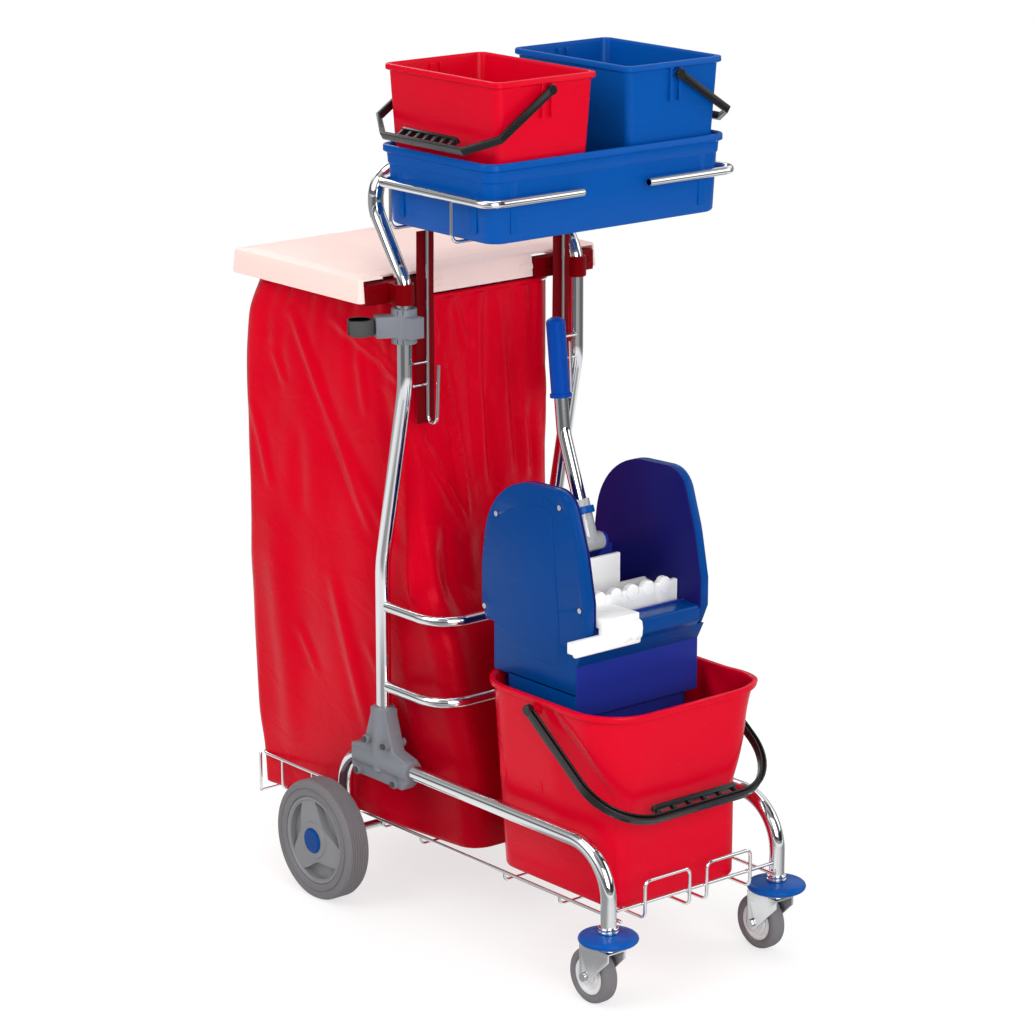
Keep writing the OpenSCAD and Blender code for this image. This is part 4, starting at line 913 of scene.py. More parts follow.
@dataclass
class Chassis(Assembly):
    """Chromed tubes, wires, gussets and small steel parts, which keep their CAD shapes."""

    chrome_nodes: Sequence[str] = (
        "side_rail_left", "side_rail_right", "handle_frame", "cross_bar_upper", "cross_bar_lower",
        "tray_rail_left", "tray_rail_right", "tray_wires", "tray_hooks", "bucket_rack", "bag_rack",
        "bag_ring", "lever_tube")
    steel_nodes: Sequence[str] = (
        "rear_axle", "caster_stems", "caster_axle_left", "caster_axle_right", "wringer_rivets")
    gusset: tuple[float, float, float] = (94.0, 157.0, 225.0)
    gusset_line: Sequence[Span] = (
        (-64, -17), (-54, -29), (54, -29), (66, -17), (66, 15), (34, 23), (18, 72), (18, 82), (-18, 82),
        (-18, 72), (-34, 23), (-64, 15))
    screws: Sequence[Span] = ((-22, 31), (22, 31), (-43, -21), (43, -21))

    def build(self) -> None:
        """Dresses the metal nodes and makes the gussets."""
        for node in self.chrome_nodes:
            self.dress(node, CHROME)
        for node in self.steel_nodes:
            self.dress(node, STEEL)
        self.dress("axle_spacers", GREY)
        self.dress("drive_gear", GREY)
        self.dress("connector_screws", RUBBER)
        self.settle(self._rear_drop(), "rack_rear_drop", "frame", "chrome", CHROME)
        for side in Side:
            halves = [f"connector_{half}_{side.label}" for half in ("outer", "inner")]
            self.settle(self._gusset(side), f"gusset_{side.label}", "frame", "grey_plastic", GREY, halves)

    def _rear_drop(self) -> Piece:
        """The wire that hangs from the rear corners of the bag's rack."""
        rear, half, low, high, r = -212.8, 157.0, 98.0, 158.0, 2.2
        made = [Bench.block((rear - r, rear + r), (-half - r, half + r), (low - r, low + r), 1.6)]
        for side in Side:
            y = side.value * half
            made.append(Bench.block((rear - r, rear + r), (y - r, y + r), (low - r, high), 1.6))
        return Bench.join(*made)

    def _gusset(self, side: Side) -> Piece:
        """The moulded gusset that joins an upright to its rail: a web, two sleeves and screw bosses."""
        x, y, z = self.gusset
        y *= side.value
        web = 11.6
        made = Bench.slab([(x + a, z + b) for a, b in self.gusset_line], y - web, y + web, 2.2)
        socket = [(11.1, -12), (17.2, -12), (17.2, 79), (16.4, 82.5), (15.2, 84), (11.1, 84)]
        sleeve = [(11.1, -58), (15.0, -58), (16.6, -57), (17.2, -55), (17.2, 63), (16.4, 66), (14.8, 67),
                  (11.1, 67)]
        boss = [(0, 10), (8, 10), (6.5, 12), (6.5, 18), (5.8, 18.8), (0, 18.8)]
        extras = [Bench.turned(socket, stand(x, y, z), 48), Bench.turned(sleeve, stand(x, y, z, 1, "Y"), 48)]
        extras += [Bench.turned(boss, stand(x + a, y, z + b, -face.value), 28)
                   for a, b in self.screws for face in Side]
        return Bench.join(made, *extras)


@dataclass
class RearWheels(Assembly):
    """Grey tyres with a ribbed tread on dished discs, with a blue cap."""

    radius: float = 90.0
    rim: float = 66.0
    width: float = 38.0
    inner_face: float = 181.1
    axle_z: float = 90.0
    ribs: int = 6

    def build(self) -> None:
        """Makes a tyre for each side and dresses the discs and caps."""
        for side in Side:
            to_place = (Matrix.Translation(place(0, side.value * self.inner_face, self.axle_z))
                        @ Matrix.Scale(side.value, 4, (0, 1, 0)) @ Matrix.Rotation(-math.pi / 2, 4, "X"))
            tyre = Bench.turned(self._profile(), to_place)
            name = f"rear_tyre_{side.label}"
            self.settle(tyre, name + "_ribbed", f"rear_wheel_{side.label}", "tyre_grey", TYRE_GREY, [name])
            name = f"rear_wheel_{side.label}"
            self.settle(self._disc(to_place), name + "_moulded", name, "grey_plastic", WHEEL_GREY, [name])
            self.dress(f"hub_cap_{side.label}", CHEEK_BLUE)

    def _disc(self, to_place: Matrix) -> Piece:
        """The dished disc with three crescent pockets in its face."""
        w, r = self.width, self.rim - 0.3
        section = [(6.1, 0), (24, 0), (24, 12), (r - 8, 18), (r - 8, 2), (r, 2), (r, w - 3), (r - 1, w - 2),
                   (r - 4, w - 2), (r - 6, w - 4), (28, w - 2), (27, w), (15.2, w), (15.2, w - 6),
                   (6.1, w - 6)]
        disc = Bench.turned(section, Matrix.Identity(4))
        Bench.cut(disc, *(self._crescent(turn) for turn in (75, 195, 315)))
        disc.data.transform(to_place)
        if to_place.determinant() < 0:
            disc.data.flip_normals()
        return disc

    def _crescent(self, turn: float) -> Piece:
        """The shape of one pocket: a round outer edge, and an inner edge that bows towards the hub."""
        reach, waist, half = self.rim - 7.0, 33.0, 43.0
        steps = [k / 12 for k in range(-12, 13)]
        ring = [(reach, half * s) for s in steps]
        ring += [(waist + (reach - 1.6 - waist) * s * s, half * s) for s in reversed(steps)]
        floor = self.width - 14
        line = [Matrix.Rotation(math.radians(turn + a), 3, "Z") @ Vector((r, 0.0, floor)) * MM
                for r, a in ring]
        return Bench.plate(line, Vector((0, 0, 20 * MM)), 0.3 * MM)

    def _profile(self) -> list[tuple[float, float]]:
        """The tyre's section, with grooves between the ribs of its tread."""
        shoulder = 6.0
        depth = 1.7
        points = [(self.rim, 0.0), (self.radius - shoulder, 0.0), (self.radius - 2.0, 1.8),
                  (self.radius, shoulder)]
        pitch = (self.width - 2 * shoulder) / self.ribs
        for k in range(self.ribs):
            start = shoulder + k * pitch
            points += [(self.radius, start + 0.8 * pitch), (self.radius - depth, start + 0.86 * pitch),
                       (self.radius - depth, start + 0.94 * pitch), (self.radius, start + pitch)]
        outer = self.width
        points += [(self.radius - 2.0, outer - 1.8), (self.radius - shoulder, outer),
                   (self.rim + 13.0, outer), (self.rim + 12.0, outer - 1.4), (self.rim + 10.6, outer - 1.4),
                   (self.rim + 9.6, outer), (self.rim + 2.0, outer), (self.rim, outer - 1.5)]
        return points


@dataclass
class Casters(Assembly):
    """Swivel casters with ringed wheels, under blue bumper saucers with a bright ferrule."""

    stem: tuple[float, float] = (588.0, 157.0)
    trail: float = 30.0
    axle_z: float = 40.0
    width: float = 24.0
    fork_edge: float = 1.0
    saucer: Sequence[Span] = (
        (5.5, 96.7), (37, 96.7), (39.6, 97.5), (41.3, 99.3), (42, 101.7), (41.3, 104), (39.4, 105.8),
        (36.5, 106.8), (26, 108.2), (15, 109.2), (12, 109.6), (12, 111.6), (5.5, 111.6))
    ferrule: Sequence[Span] = (
        (11.1, 109.8), (13.6, 109.8), (14.2, 110.6), (14.2, 112.6), (13.5, 113.4), (12.4, 113.8),
        (13.4, 114.4), (13.9, 115.2), (13.9, 117.2), (13.2, 118), (11.1, 118))
    tyre: Sequence[Span] = (
        (27.2, 1.6), (28.6, 0.5), (33, 0), (36.4, 0.8), (39, 3.2), (40, 7))
    rim: Sequence[Span] = (
        (3.1, -1.6), (7.6, -1.6), (8.6, -0.8), (8.6, 3), (11, 4.2), (12.2, 2.8), (15.4, 2.8), (16.4, 4.4),
        (19.4, 4.8), (20.4, 2.4), (24.6, 1.6), (25.8, 2.4), (27, 2.4))

    def build(self) -> None:
        """Makes saucers, ferrules and wheels, and softens the forks."""
        for side in Side:
            label = side.label
            at_stem = stand(self.stem[0], side.value * self.stem[1], 0)
            self.soften(f"caster_fork_{label}", f"caster_{label}", "chrome", FORK_STEEL, self.fork_edge)
            self.settle(Bench.turned(self.saucer, at_stem), f"bumper_{label}_saucer", "frame", "blue_plastic",
                        BLUE, [f"bumper_{label}"])
            ferrule = Bench.turned(self.ferrule, at_stem, 64)
            self.settle(ferrule, f"leg_ferrule_{label}", "frame", "chrome", CHROME)
            for node, half, slot, finish in (("caster_tyre", self.tyre, "tyre_grey", TYRE_GREY),
                                             ("caster_wheel", self.rim, "grey_plastic", RIM)):
                self.settle(self._wheel(side, half), f"{node}_{label}_turned", f"caster_wheel_{label}", slot,
                            finish, [f"{node}_{label}"])

    def _wheel(self, side: Side, half: Sequence[Span]) -> Piece:
        """A turned part of a wheel, from one half of its section."""
        section = [*half, *((r, self.width - a) for r, a in reversed(half))]
        y = side.value * self.stem[1] - self.width / 2
        return Bench.turned(section, stand(self.stem[0] - self.trail, y, self.axle_z, -1), 72)


@dataclass
class Bail:
    """A flat black handle with straight arms and a ladder for a grip."""

    half_span: float
    reach: float
    bend: Bend
    corner: float
    bands: Sequence[tuple[float, float, float]]
    eye: float
    ladder: float
    rungs: int = 7
    spread: float = 2.0

    @property
    def strip(self) -> float:
        """The width of the handle's whole strip."""
        return self.bands[-1][1]

    @property
    def depth(self) -> float:
        """The depth of the handle across its strip."""
        return self.bands[0][2]

    def build(self) -> Piece:
        """Makes the handle flat, turning about X and reaching to +Y.

        Returns:
            The handle about the origin, in metres.
        """
        bands = [self._band(*band) for band in self.bands]
        return Bench.join(*bands, *(self._eye(end) for end in (-1, 1)), *self._grip())

    def _line(self, inset: float) -> list[tuple[float, float]]:
        """One half of the handle's line, from its eye to the middle of its grip, drawn in by an inset."""
        h, r, c = self.half_span + self.strip / 2, self.reach, self.corner
        if self.bend is Bend.CUT:
            return [(h - inset, 0.0), (h - inset, r - 0.75 * c - 0.35 * inset),
                    (h - c - 0.4 * inset, r - inset)]
        turns = [math.radians(90 * k / 14) for k in range(15)]
        arc = [(h - c + (c - inset) * math.cos(a), r - c + (c - inset) * math.sin(a)) for a in turns]
        return [(h - inset, 0.0), *arc]

    def _band(self, near: float, far: float, depth: float) -> Piece:
        """A flat band between two insets of the line."""
        outer, inner = self._line(near), self._line(far)
        ring = [*outer, *((-x, y) for x, y in reversed(outer)), *((-x, y) for x, y in inner),
                *reversed(inner)]
        line = [Vector((x, y, -depth / 2)) * MM for x, y in ring]
        return Bench.plate(line, Vector((0, 0, depth * MM)), 0.9 * MM)

    def _eye(self, end: int) -> Piece:
        """The round eye at one end of the handle."""
        turn = stand(MID_X + end * self.half_span, 0, 0, end, "Y")
        half = self.strip / 2 + 0.4
        hole = self.eye / 2 + 0.05
        outer = hole + 3.2
        return Bench.turned([(hole, -half), (outer - 0.8, -half), (outer, -half + 0.8), (outer, half - 0.8),
                             (outer - 0.8, half), (0, half), (0, half - 1.6), (hole, half - 1.6)], turn, 40)

    def _grip(self) -> list[Piece]:
        """The inner bar and the rungs of the ladder."""
        half = 0.42 * self.depth
        gap = self.spread * self.strip
        q = self.reach - self.strip
        bar = Bench.box(Vector((-self.ladder / 2, q - gap - self.strip * 0.8, -half)) * MM,
                        Vector((self.ladder / 2, q - gap, half)) * MM, 1.0 * MM)
        made = [bar]
        for k in range(self.rungs):
            x = (k / (self.rungs - 1) - 0.5) * 0.94 * self.ladder
            made.append(Bench.box(Vector((x - 2.2, q - gap - 1, -0.8 * half)) * MM,
                                  Vector((x + 2.2, q + 1, 0.8 * half)) * MM, 0.6 * MM))
        return made


@dataclass
class Tray(Assembly):
    """The blue tray with its rolled rim and the two pails that stand in it."""

    x: float = 285.0
    z: float = 1033.0
    length: float = 236.0
    width: float = 420.0
    height: float = 109.0
    pail_y: float = 114.0
    pail_z: float = 1035.8
    pail_height: float = 214.0
    pail_length: float = 239.1
    pail_width: float = 168.0
    pivot_z: float = 1233.8
    bail_tilt: float = 33.0

    def build(self) -> None:
        """Makes the tray, the pails and their bails."""
        tray = Bench.join(Tub(self.x, 0.0, self.z, 21.0, self._tray_rings()).build(), *self._flutes())
        self.settle(tray, "tray_moulded", "tray", "blue_plastic", BLUE, ["tray"])
        for side, finish, slot in ((Side.LEFT, BLUE, "blue_plastic"), (Side.RIGHT, RED, "red_plastic")):
            node = f"pail_{side.label}"
            self.settle(self._pail(side), node + "_moulded", node, slot, finish, [node])
            node = f"pail_bail_{side.label}"
            self.settle(self._bail(side), node + "_flat", node, "black_plastic", BLACK, [node])

    def _tray_rings(self) -> list[Ring]:
        """Rings of the tray, with a step under its rim."""
        l, w, h = self.length, self.width, self.height
        return [Ring(0, l - 13, w - 20), Ring(1.2, l - 9.5, w - 16.5), Ring(4, l - 7, w - 14),
                Ring(h - 27, l - 3.4, w - 5.4), Ring(h - 25.6, l - 1.4, w - 2.4), Ring(h - 11.5, l, w),
                Ring(h - 10.2, l + 5, w + 5), Ring(h - 9, l + 8, w + 8), Ring(h - 2, l + 8, w + 8),
                Ring(h - 0.5, l + 6.4, w + 6.4), Ring(h, l + 4, w + 4), Ring(h, l - 2, w - 2),
                Ring(h - 1.2, l - 4.2, w - 4.2), Ring(h - 4, l - 5, w - 5), Ring(9, l - 12, w - 18),
                Ring(3.6, l - 16, w - 22), Ring(2.5, l - 24, w - 30)]

    def _flutes(self) -> list[Piece]:
        """Shallow upright ribs near the corners of the tray."""
        made = []
        for side in Side:
            for x in (-78, 78):
                y = side.value * (self.width / 2 - 4.4)
                made.append(self._rib(self.x + x, y, 11, 2.6))
        for y in (-168, 168):
            made.append(self._rib(self.x + self.length / 2 - 2.6, y, 2.6, 11))
        return made

    def _rib(self, x: float, y: float, l: float, w: float) -> Piece:
        """One upright rib on the tray's wall."""
        return Bench.block((x - l / 2, x + l / 2), (y - w / 2, y + w / 2), (self.z + 12, self.z + 82), 1.0)

    def _pail(self, side: Side) -> Piece:
        """One pail with its ribs and pivots."""
        l, w, h = self.pail_length, self.pail_width, self.pail_height
        rings = [Ring(0, l - 30, w - 30), Ring(1.4, l - 25, w - 25), Ring(5, l - 21.5, w - 21.5),
                 Ring(h - 30, l - 3, w - 3), Ring(h - 9.6, l - 1, w - 1), Ring(h - 8.4, l + 5, w + 5),
                 Ring(h - 7.4, l + 8, w + 8), Ring(h - 1.6, l + 8, w + 8), Ring(h - 0.4, l + 6.6, w + 6.6),
                 Ring(h, l + 4, w + 4), Ring(h, l - 2, w - 2), Ring(h - 1, l - 4, w - 4),
                 Ring(h - 4, l - 5.2, w - 5.2), Ring(12, l - 26, w - 26), Ring(4, l - 30, w - 30),
                 Ring(2.5, l - 38, w - 38)]
        y = side.value * self.pail_y
        pail = Tub(self.x, y, self.pail_z, 10.0, rings).build()
        extras = []
        for end in (-1, 1):
            for rib in (-8, 8):
                middle = self.x + end * (l / 2 - 2)
                extras.append(Bench.block((middle - 5, middle + 5), (y + rib - 2.8, y + rib + 2.8),
                                          (self.pail_z + h - 54, self.pail_z + h - 7), 0.9))
            turn = stand(self.x + end * (l / 2 - 1.8), y, self.pivot_z, end, "Y")
            pivot = [(0, 0), (6, 0), (6, 6), (4, 7), (4, 12.6), (3.6, 13), (0, 13)]
            extras.append(Bench.turned(pivot, turn, 32))
        return Bench.join(pail, *extras)

    def _bail(self, side: Side) -> Piece:
        """One pail's handle, hanging on the outer side of its pail."""
        bail = Bail(129.5, 141.0, Bend.CUT, 46.0, ((0.0, 5.8, 11.0),), 8.0, 116.0).build()
        tilt = Matrix.Rotation(-math.radians(self.bail_tilt), 4, "X")
        turned = 0 if side is Side.LEFT else 2
        bail.data.transform(stand(self.x, side.value * self.pail_y, self.pivot_z, turned, "Z") @ tilt)
        return bail


@dataclass
class Bucket(Assembly):
    """The red mop bucket with its shoulder, pouring corner, ledges, pivots and handle."""

    x: float = 430.0
    z: float = 120.0
    height: float = 282.0
    foot: tuple[float, float, float] = (254.0, 238.0, 34.0)
    rim: tuple[float, float, float] = (290.0, 292.0, 70.0)
    wall: float = 3.0
    bowl_turns: Sequence[float] = (0.0, 32.0, 49.0, 63.0, 84.0)
    bowl_lows: Sequence[float] = (121.0, 129.0, 162.0, 212.0, 282.0)
    bowl_blend: float = 36.0
    front_taper: float = 0.06
    pivot: tuple[float, float] = (421.0, 385.0)
    ledge_z: float = 300.0
    ledge_xs: Sequence[float] = (329.0, 407.0)
    bail_tilt: float = 35.7

    def build(self) -> None:
        """Makes the bucket and its handle."""
        bucket = Bench.lofted(self._points())
        Bench.sew(bucket)
        self._pour(bucket)
        extras = []
        for side in Side:
            for x in self.ledge_xs:
                ys = (side.value * 88.0, side.value * 134.0)
                extras.append(Bench.block((x, x + 14), ys, (self.ledge_z - 40, self.ledge_z), 1.5))
            turn = stand(self.pivot[0], side.value * 141.5, self.pivot[1], -side.value)
            pivot = [(0, 0), (10, 0), (10, 5), (4.5, 7), (4.5, 19.8), (4, 20.3), (0, 20.3)]
            extras.append(Bench.turned(pivot, turn, 40))
        self.settle(Bench.join(bucket, *extras), "mop_bucket_moulded", "bucket", "red_plastic", RED,
                    ["mop_bucket"])
        channel = ((0.0, 2.8, 12.0), (2.6, 6.8, 5.0), (6.6, 9.4, 12.0))
        bail = Bail(159.0, 222.0, Bend.ROUND, 88.0, channel, 9.0, 150.0, 6, 0.75).build()
        turn = Matrix.Rotation(math.radians(self.bail_tilt), 4, "Y") @ Matrix.Rotation(-math.pi / 2, 4, "Z")
        bail.data.transform(stand(self.pivot[0], 0, self.pivot[1]) @ turn)
        self.settle(bail, "bucket_bail_flat", "bucket_bail", "black_plastic", BLACK, ["bucket_bail"])

    @staticmethod
    def _outline(size: tuple[float, float, float], grow: float) -> np.ndarray:
        """A round-cornered outline about the middle, grown by an amount, with as many points on each run."""
        arc_points, run_points = 14, 28
        r = max(size[2] + grow, 1.0)
        x, y = size[0] / 2 + grow - r, size[1] / 2 + grow - r
        arcs = arcs_of(((x, y, 0, r), (-x, y, 90, r), (-x, -y, 180, r), (x, -y, 270, r)), arc_points)
        return joined(arcs, [run_points] * len(arcs))

    def _ring(self, z: float, grow: float) -> np.ndarray:
        """The wall at a height: flat at the rear, and a bowl above a slanting line towards the front."""
        foot, rim = self._outline(self.foot, grow), self._outline(self.rim, grow)
        turn = np.degrees(np.arctan2(np.abs(rim[:, 1]), rim[:, 0]))
        line = np.interp(turn, self.bowl_turns, self.bowl_lows)
        share = np.clip((self.bowl_turns[-1] - turn) / self.bowl_blend, 0, 1)
        lean = (1 - (1 - self.front_taper) * share) / self.height
        low = foot + (rim - foot) * (np.minimum(z, line) * lean)[:, None]
        rise = np.clip((z - line) / np.maximum(self.height - line, 1.0), 0, 1)
        bulge = 1 - (1 - rise) ** 3.2
        flat = low + (rim - low) * bulge[:, None]
        return np.c_[flat + (self.x, 0.0), np.full(len(flat), self.z + z)]

    def _points(self) -> np.ndarray:
        """Rings from the middle of the underside, up the outside, over the rim and down to the floor."""
        h, w = self.height, self.wall
        steps = [(0.0, -6.0), (0.5, -3.6), (1.8, -1.6), (3.6, -0.5), (6.0, 0.0)]
        steps += [(z, 0.0) for z in np.arange(11.0, h - 10.0, 4.6)]
        steps += [(h - 10, 0.2), (h - 9.2, 3.6), (h - 8.2, 5.4), (h - 7, 6), (h - 2, 6), (h - 0.7, 5.4),
                  (h, 3.8), (h, -0.6), (h - 0.8, -2.0), (h - 2.6, -w), (h - 6, -w)]
        steps += [(z, -w) for z in np.arange(h - 14.0, 16.0, -9.2)]
        steps += [(10, -w - 0.6), (6, -w - 2.2), (4, -w - 5), (w, -w - 9)]
        rings = [self._ring(z, grow) for z, grow in steps]
        under = np.tile((self.x, 0.0, self.z), (len(rings[0]), 1))
        floor = under + (0.0, 0.0, w)
        return np.stack([under, *rings, floor])

    def _pour(self, bucket: Piece) -> None:
        """Draws the rim out to a pouring corner at the front left."""
        corner = place(self.x + 122, 120, self.z + self.height)
        reach, depth, draw, lift = 0.075, 0.06, 0.012, 0.004
        away = Vector((0.7, 0.7, 0.0))
        for vertex in bucket.data.vertices:
            flat = Vector((vertex.co.x - corner.x, vertex.co.y - corner.y))
            near = max(0.0, 1.0 - flat.length / reach) ** 1.3
            high = min(max((vertex.co.z - corner.z + depth) / depth, 0.0), 1.0) ** 2
            vertex.co += away * draw * near * high
            vertex.co.z += lift * near * high


class Level(NamedTuple):
    """A level of the bag: height, rear X, front X, rear half width and front half width."""

    z: float
    rear: float
    front: float
    rear_half: float
    front_half: float


@dataclass
class WasteBag(Assembly):
    """A hanging cloth bag: a lofted shell with gathers at its hem, long folds and creases."""

    levels: Sequence[Level] = (
        Level(901, -158, 126, 198, 136), Level(862, -172, 127, 204, 136), Level(791, -184, 128, 201, 136),
        Level(641, -196, 134, 195, 134), Level(480, -200, 140, 188, 128), Level(420, -203, 182, 180, 124),
        Level(310, -207, 210, 169, 118), Level(225, -209, 228, 163, 112), Level(170, -209, 233, 154, 110),
        Level(115, -207, 236, 152, 108))
    corner: float = 34.0
    rear_corner_zs: Sequence[float] = (115.0, 225.0, 420.0, 640.0, 860.0, 900.0)
    rear_corners: Sequence[float] = (8.0, 10.0, 18.0, 22.0, 28.0, 34.0)
    counts: tuple[int, int, int, int] = (62, 9, 56, 34)
    rows: int = 165
    map_row: int = 40
    depth: float = 1.5
    cloth: float = 1.0
    creases: Sequence[tuple[Panel, Sequence[Crease]]] = (
        (Panel.RIGHT, (
            (-81, 874, -18, 699, 8, 6), (-18, 699, 56, 544, 9, 6), (-122, 810, -81, 874, 8, 5),
            (-15, 868, 125, 779, 8, 6), (-30, 726, 98, 523, 12, 5), (-30, 487, 32, 240, 11, 6),
            (30, 395, 100, 262, 9, 4), (-166, 723, -136, 586, 8, 4), (-111, 393, -71, 310, 8, 4),
            (-117, 806, -102, 750, 7, 4), (32, 832, 46, 726, 8, 4), (-78, 702, -82, 552, 16, -5),
            (-130, 560, -140, 170, 22, 5), (60, 860, 100, 640, 14, -5))),
        (Panel.FRONT, (
            (-122, 727, -35, 569, 5, 8), (-75, 828, -29, 571, 5, 8), (-72, 700, -50, 590, 16, -6),
            (-13, 892, -3, 626, 11, 7), (9, 772, 19, 593, 9, -7), (53, 824, 63, 615, 11, -8),
            (83, 731, 93, 610, 9, -6), (-51, 900, -24, 818, 7, 6), (115, 786, 132, 648, 8, 5),
            (-80, 580, -70, 441, 12, -6), (-105, 900, -79, 836, 7, 5), (31, 886, 42, 738, 10, 6),
            (-108, 555, -96, 464, 10, 5), (-33, 560, -28, 470, 14, 4))),
        (Panel.LEFT, (
            (95, 850, -40, 660, 15, 7), (90, 800, 20, 430, 14, 6), (-140, 890, -110, 560, 18, 7),
            (-40, 890, -80, 600, 14, -6), (-100, 540, -120, 170, 20, 6), (20, 560, -10, 200, 18, 5))),
        (Panel.REAR, (
            (-150, 890, -90, 560, 18, 8), (140, 890, 100, 520, 18, 8), (-40, 895, -30, 560, 16, 7),
            (50, 895, 30, 480, 16, -7), (0, 560, -20, 170, 22, 7), (90, 520, 70, 180, 20, 6),
            (-90, 520, -110, 180, 20, -6))))

    def build(self) -> None:
        """Lofts the shell, and gives it its map and thickness."""
        points, around = self._points()
        piece = Bench.lofted(points)
        self._map(piece.data, points, around)
        Bench.sew(piece)
        wall = piece.modifiers.new("wall", "SOLIDIFY")
        wall.thickness = self.cloth * MM
        wall.offset = -1.0
        Bench.apply(piece, "wall")
        self.settle(piece, "bag_sewn", "frame", "bag_fabric", BAG_RED, ["bag"], smooth=60.0)

    def _heights(self) -> np.ndarray:
        """Heights of the rows, from the hem rolled over the hoop down to the base."""
        return np.linspace(self.levels[0].z, self.levels[-1].z, self.rows)

    def _smooth(self, z: np.ndarray, column: int) -> np.ndarray:
        """One measure of the levels at each height, with its corners eased."""
        fine = np.linspace(self.levels[-1].z, self.levels[0].z, 800)
        known = sorted((level[0], level[column]) for level in self.levels)
        line = np.interp(fine, [k[0] for k in known], [k[1] for k in known])
        half = 38
        padded = np.pad(line, half, mode="reflect", reflect_type="odd")
        eased = np.convolve(padded, np.hanning(2 * half + 1) / np.hanning(2 * half + 1).sum(), "valid")
        return np.interp(z, fine, eased)

    def _outline(self, z: float, rear: float, front: float, rear_half: float,
                 front_half: float) -> np.ndarray:
        """The round-cornered outline of one level, in the order front, left, rear, right."""
        n_front, n_corner, n_side, n_rear = self.counts
        sharp = float(np.interp(z, self.rear_corner_zs, self.rear_corners))
        blunt = self.corner
        ahead, behind = (front - blunt, front_half - blunt), (rear + sharp, rear_half - sharp)
        arcs = arcs_of(((*ahead, 0, blunt), (*behind, 90, sharp), (behind[0], -behind[1], 180, sharp),
                        (ahead[0], -ahead[1], 270, blunt)), n_corner)
        return joined(arcs, (n_side, n_rear, n_side, n_front))

    def _points(self) -> tuple[np.ndarray, np.ndarray]:
        """Every point of the shell, and the distance of each column round the bag.

        Returns:
            Points by row and column, and the columns' distances in millimetres.
        """
        z = self._heights()
        sizes = [self._smooth(z, column) for column in (1, 2, 3, 4)]
        flat = np.stack([self._outline(z[i], *(s[i] for s in sizes)) for i in range(len(z))])
        step = np.roll(flat, -1, axis=1) - np.roll(flat, 1, axis=1)
        out = np.stack([step[..., 1], -step[..., 0]], axis=-1)
        out /= np.linalg.norm(out, axis=-1, keepdims=True)
        heights = np.repeat(z[:, None], flat.shape[1], axis=1)
        line = flat[self.map_row]
        gaps = np.linalg.norm(np.roll(line, -1, axis=0) - line, axis=-1)
        around = np.concatenate([[0.0], np.cumsum(gaps)[:-1]])
        push = self._folds(flat, out, heights) + self._gathers(around, heights)
        shell = np.concatenate([flat + out * push[..., None], heights[..., None]], axis=-1)
        return np.concatenate([self._hem(flat[0], out[0]), shell, self._base(shell[-1])]), around

    def _folds(self, flat: np.ndarray, out: np.ndarray, z: np.ndarray) -> np.ndarray:
        """How far each point is pushed out by the creases of its wall.

        A crease is given by its start and end along the wall and in height, its width and its rise.
        """
        push = np.zeros(z.shape)
        for panel, creases in self.creases:
            axis, faces = panel.value
            facing = np.clip(out @ np.array(faces), 0, 1) ** 2
            spots = np.stack([flat[..., axis], z], axis=-1)
            for *line, width, rise in creases:
                a, b = np.array(line, float).reshape(2, 2)
                rel = spots - a
                run = b - a
                t = np.clip(rel @ run / (run @ run), -0.15, 1.15)
                miss = np.linalg.norm(rel - t[..., None] * run, axis=-1)
                ends = np.clip(1 - np.abs(2 * t - 1) ** 3, 0.0, 1.0)
                ridge = np.exp(-(miss / width) ** 2) - 0.55 * np.exp(-(miss / (2.3 * width)) ** 2)
                push += facing * ends * self.depth * rise * ridge
        return push

    def _gathers(self, around: np.ndarray, z: np.ndarray) -> np.ndarray:
        """Small pleats that fade below the hem, slow waves in the cloth, and slack between them."""
        below = self.levels[0].z - z
        s = around[None, :]
        length = around[-1] + (around[-1] - around[-2])
        whole = math.tau / length
        pleats = (np.sin(31 * whole * s + 1.3 * np.sin(5 * whole * s)) + 0.6 * np.sin(47 * whole * s + 0.7))
        waves = (np.sin(9 * whole * s + 0.011 * below) + 0.7 * np.sin(14 * whole * s - 0.007 * below + 1.1)
                 + 0.4 * np.sin(5 * whole * s + 0.016 * below + 0.4))
        swell = np.clip(below / 160, 0, 1) * np.clip((786 - below) / 260, 0.15, 1)
        slack = 3.0 * np.sin(math.pi * np.clip(below / 420, 0, 1))
        return 1.7 * pleats * np.exp(-below / 70) + 1.8 * waves * swell - slack

    @staticmethod
    def _hem(top: np.ndarray, out: np.ndarray) -> np.ndarray:
        """Rows that roll the cloth over the hoop to its inside."""
        hoop, centre_z, inset = 4.3, 904.3, 3.0
        rows = []
        for turn in (215, 170, 130, 90, 50, 10, -20):
            a = math.radians(turn)
            away = -inset - hoop * math.cos(a)
            row = np.c_[top[:, :2] + out * away, np.full(len(top), centre_z + hoop * math.sin(a))]
            rows.append(row)
        return np.stack(rows)

    @staticmethod
    def _base(last: np.ndarray) -> np.ndarray:
        """Rows that round the base off and close it."""
        centre = last.mean(axis=0)
        rows = []
        for share, drop in ((0.985, 1.5), (0.95, 2.4), (0.85, 2.2), (0.6, 1.0), (0.3, 0.4), (0.0, 0.2)):
            row = centre + (last - centre) * share
            row[:, 2] = last[:, 2] - drop
            rows.append(row)
        return np.stack(rows)

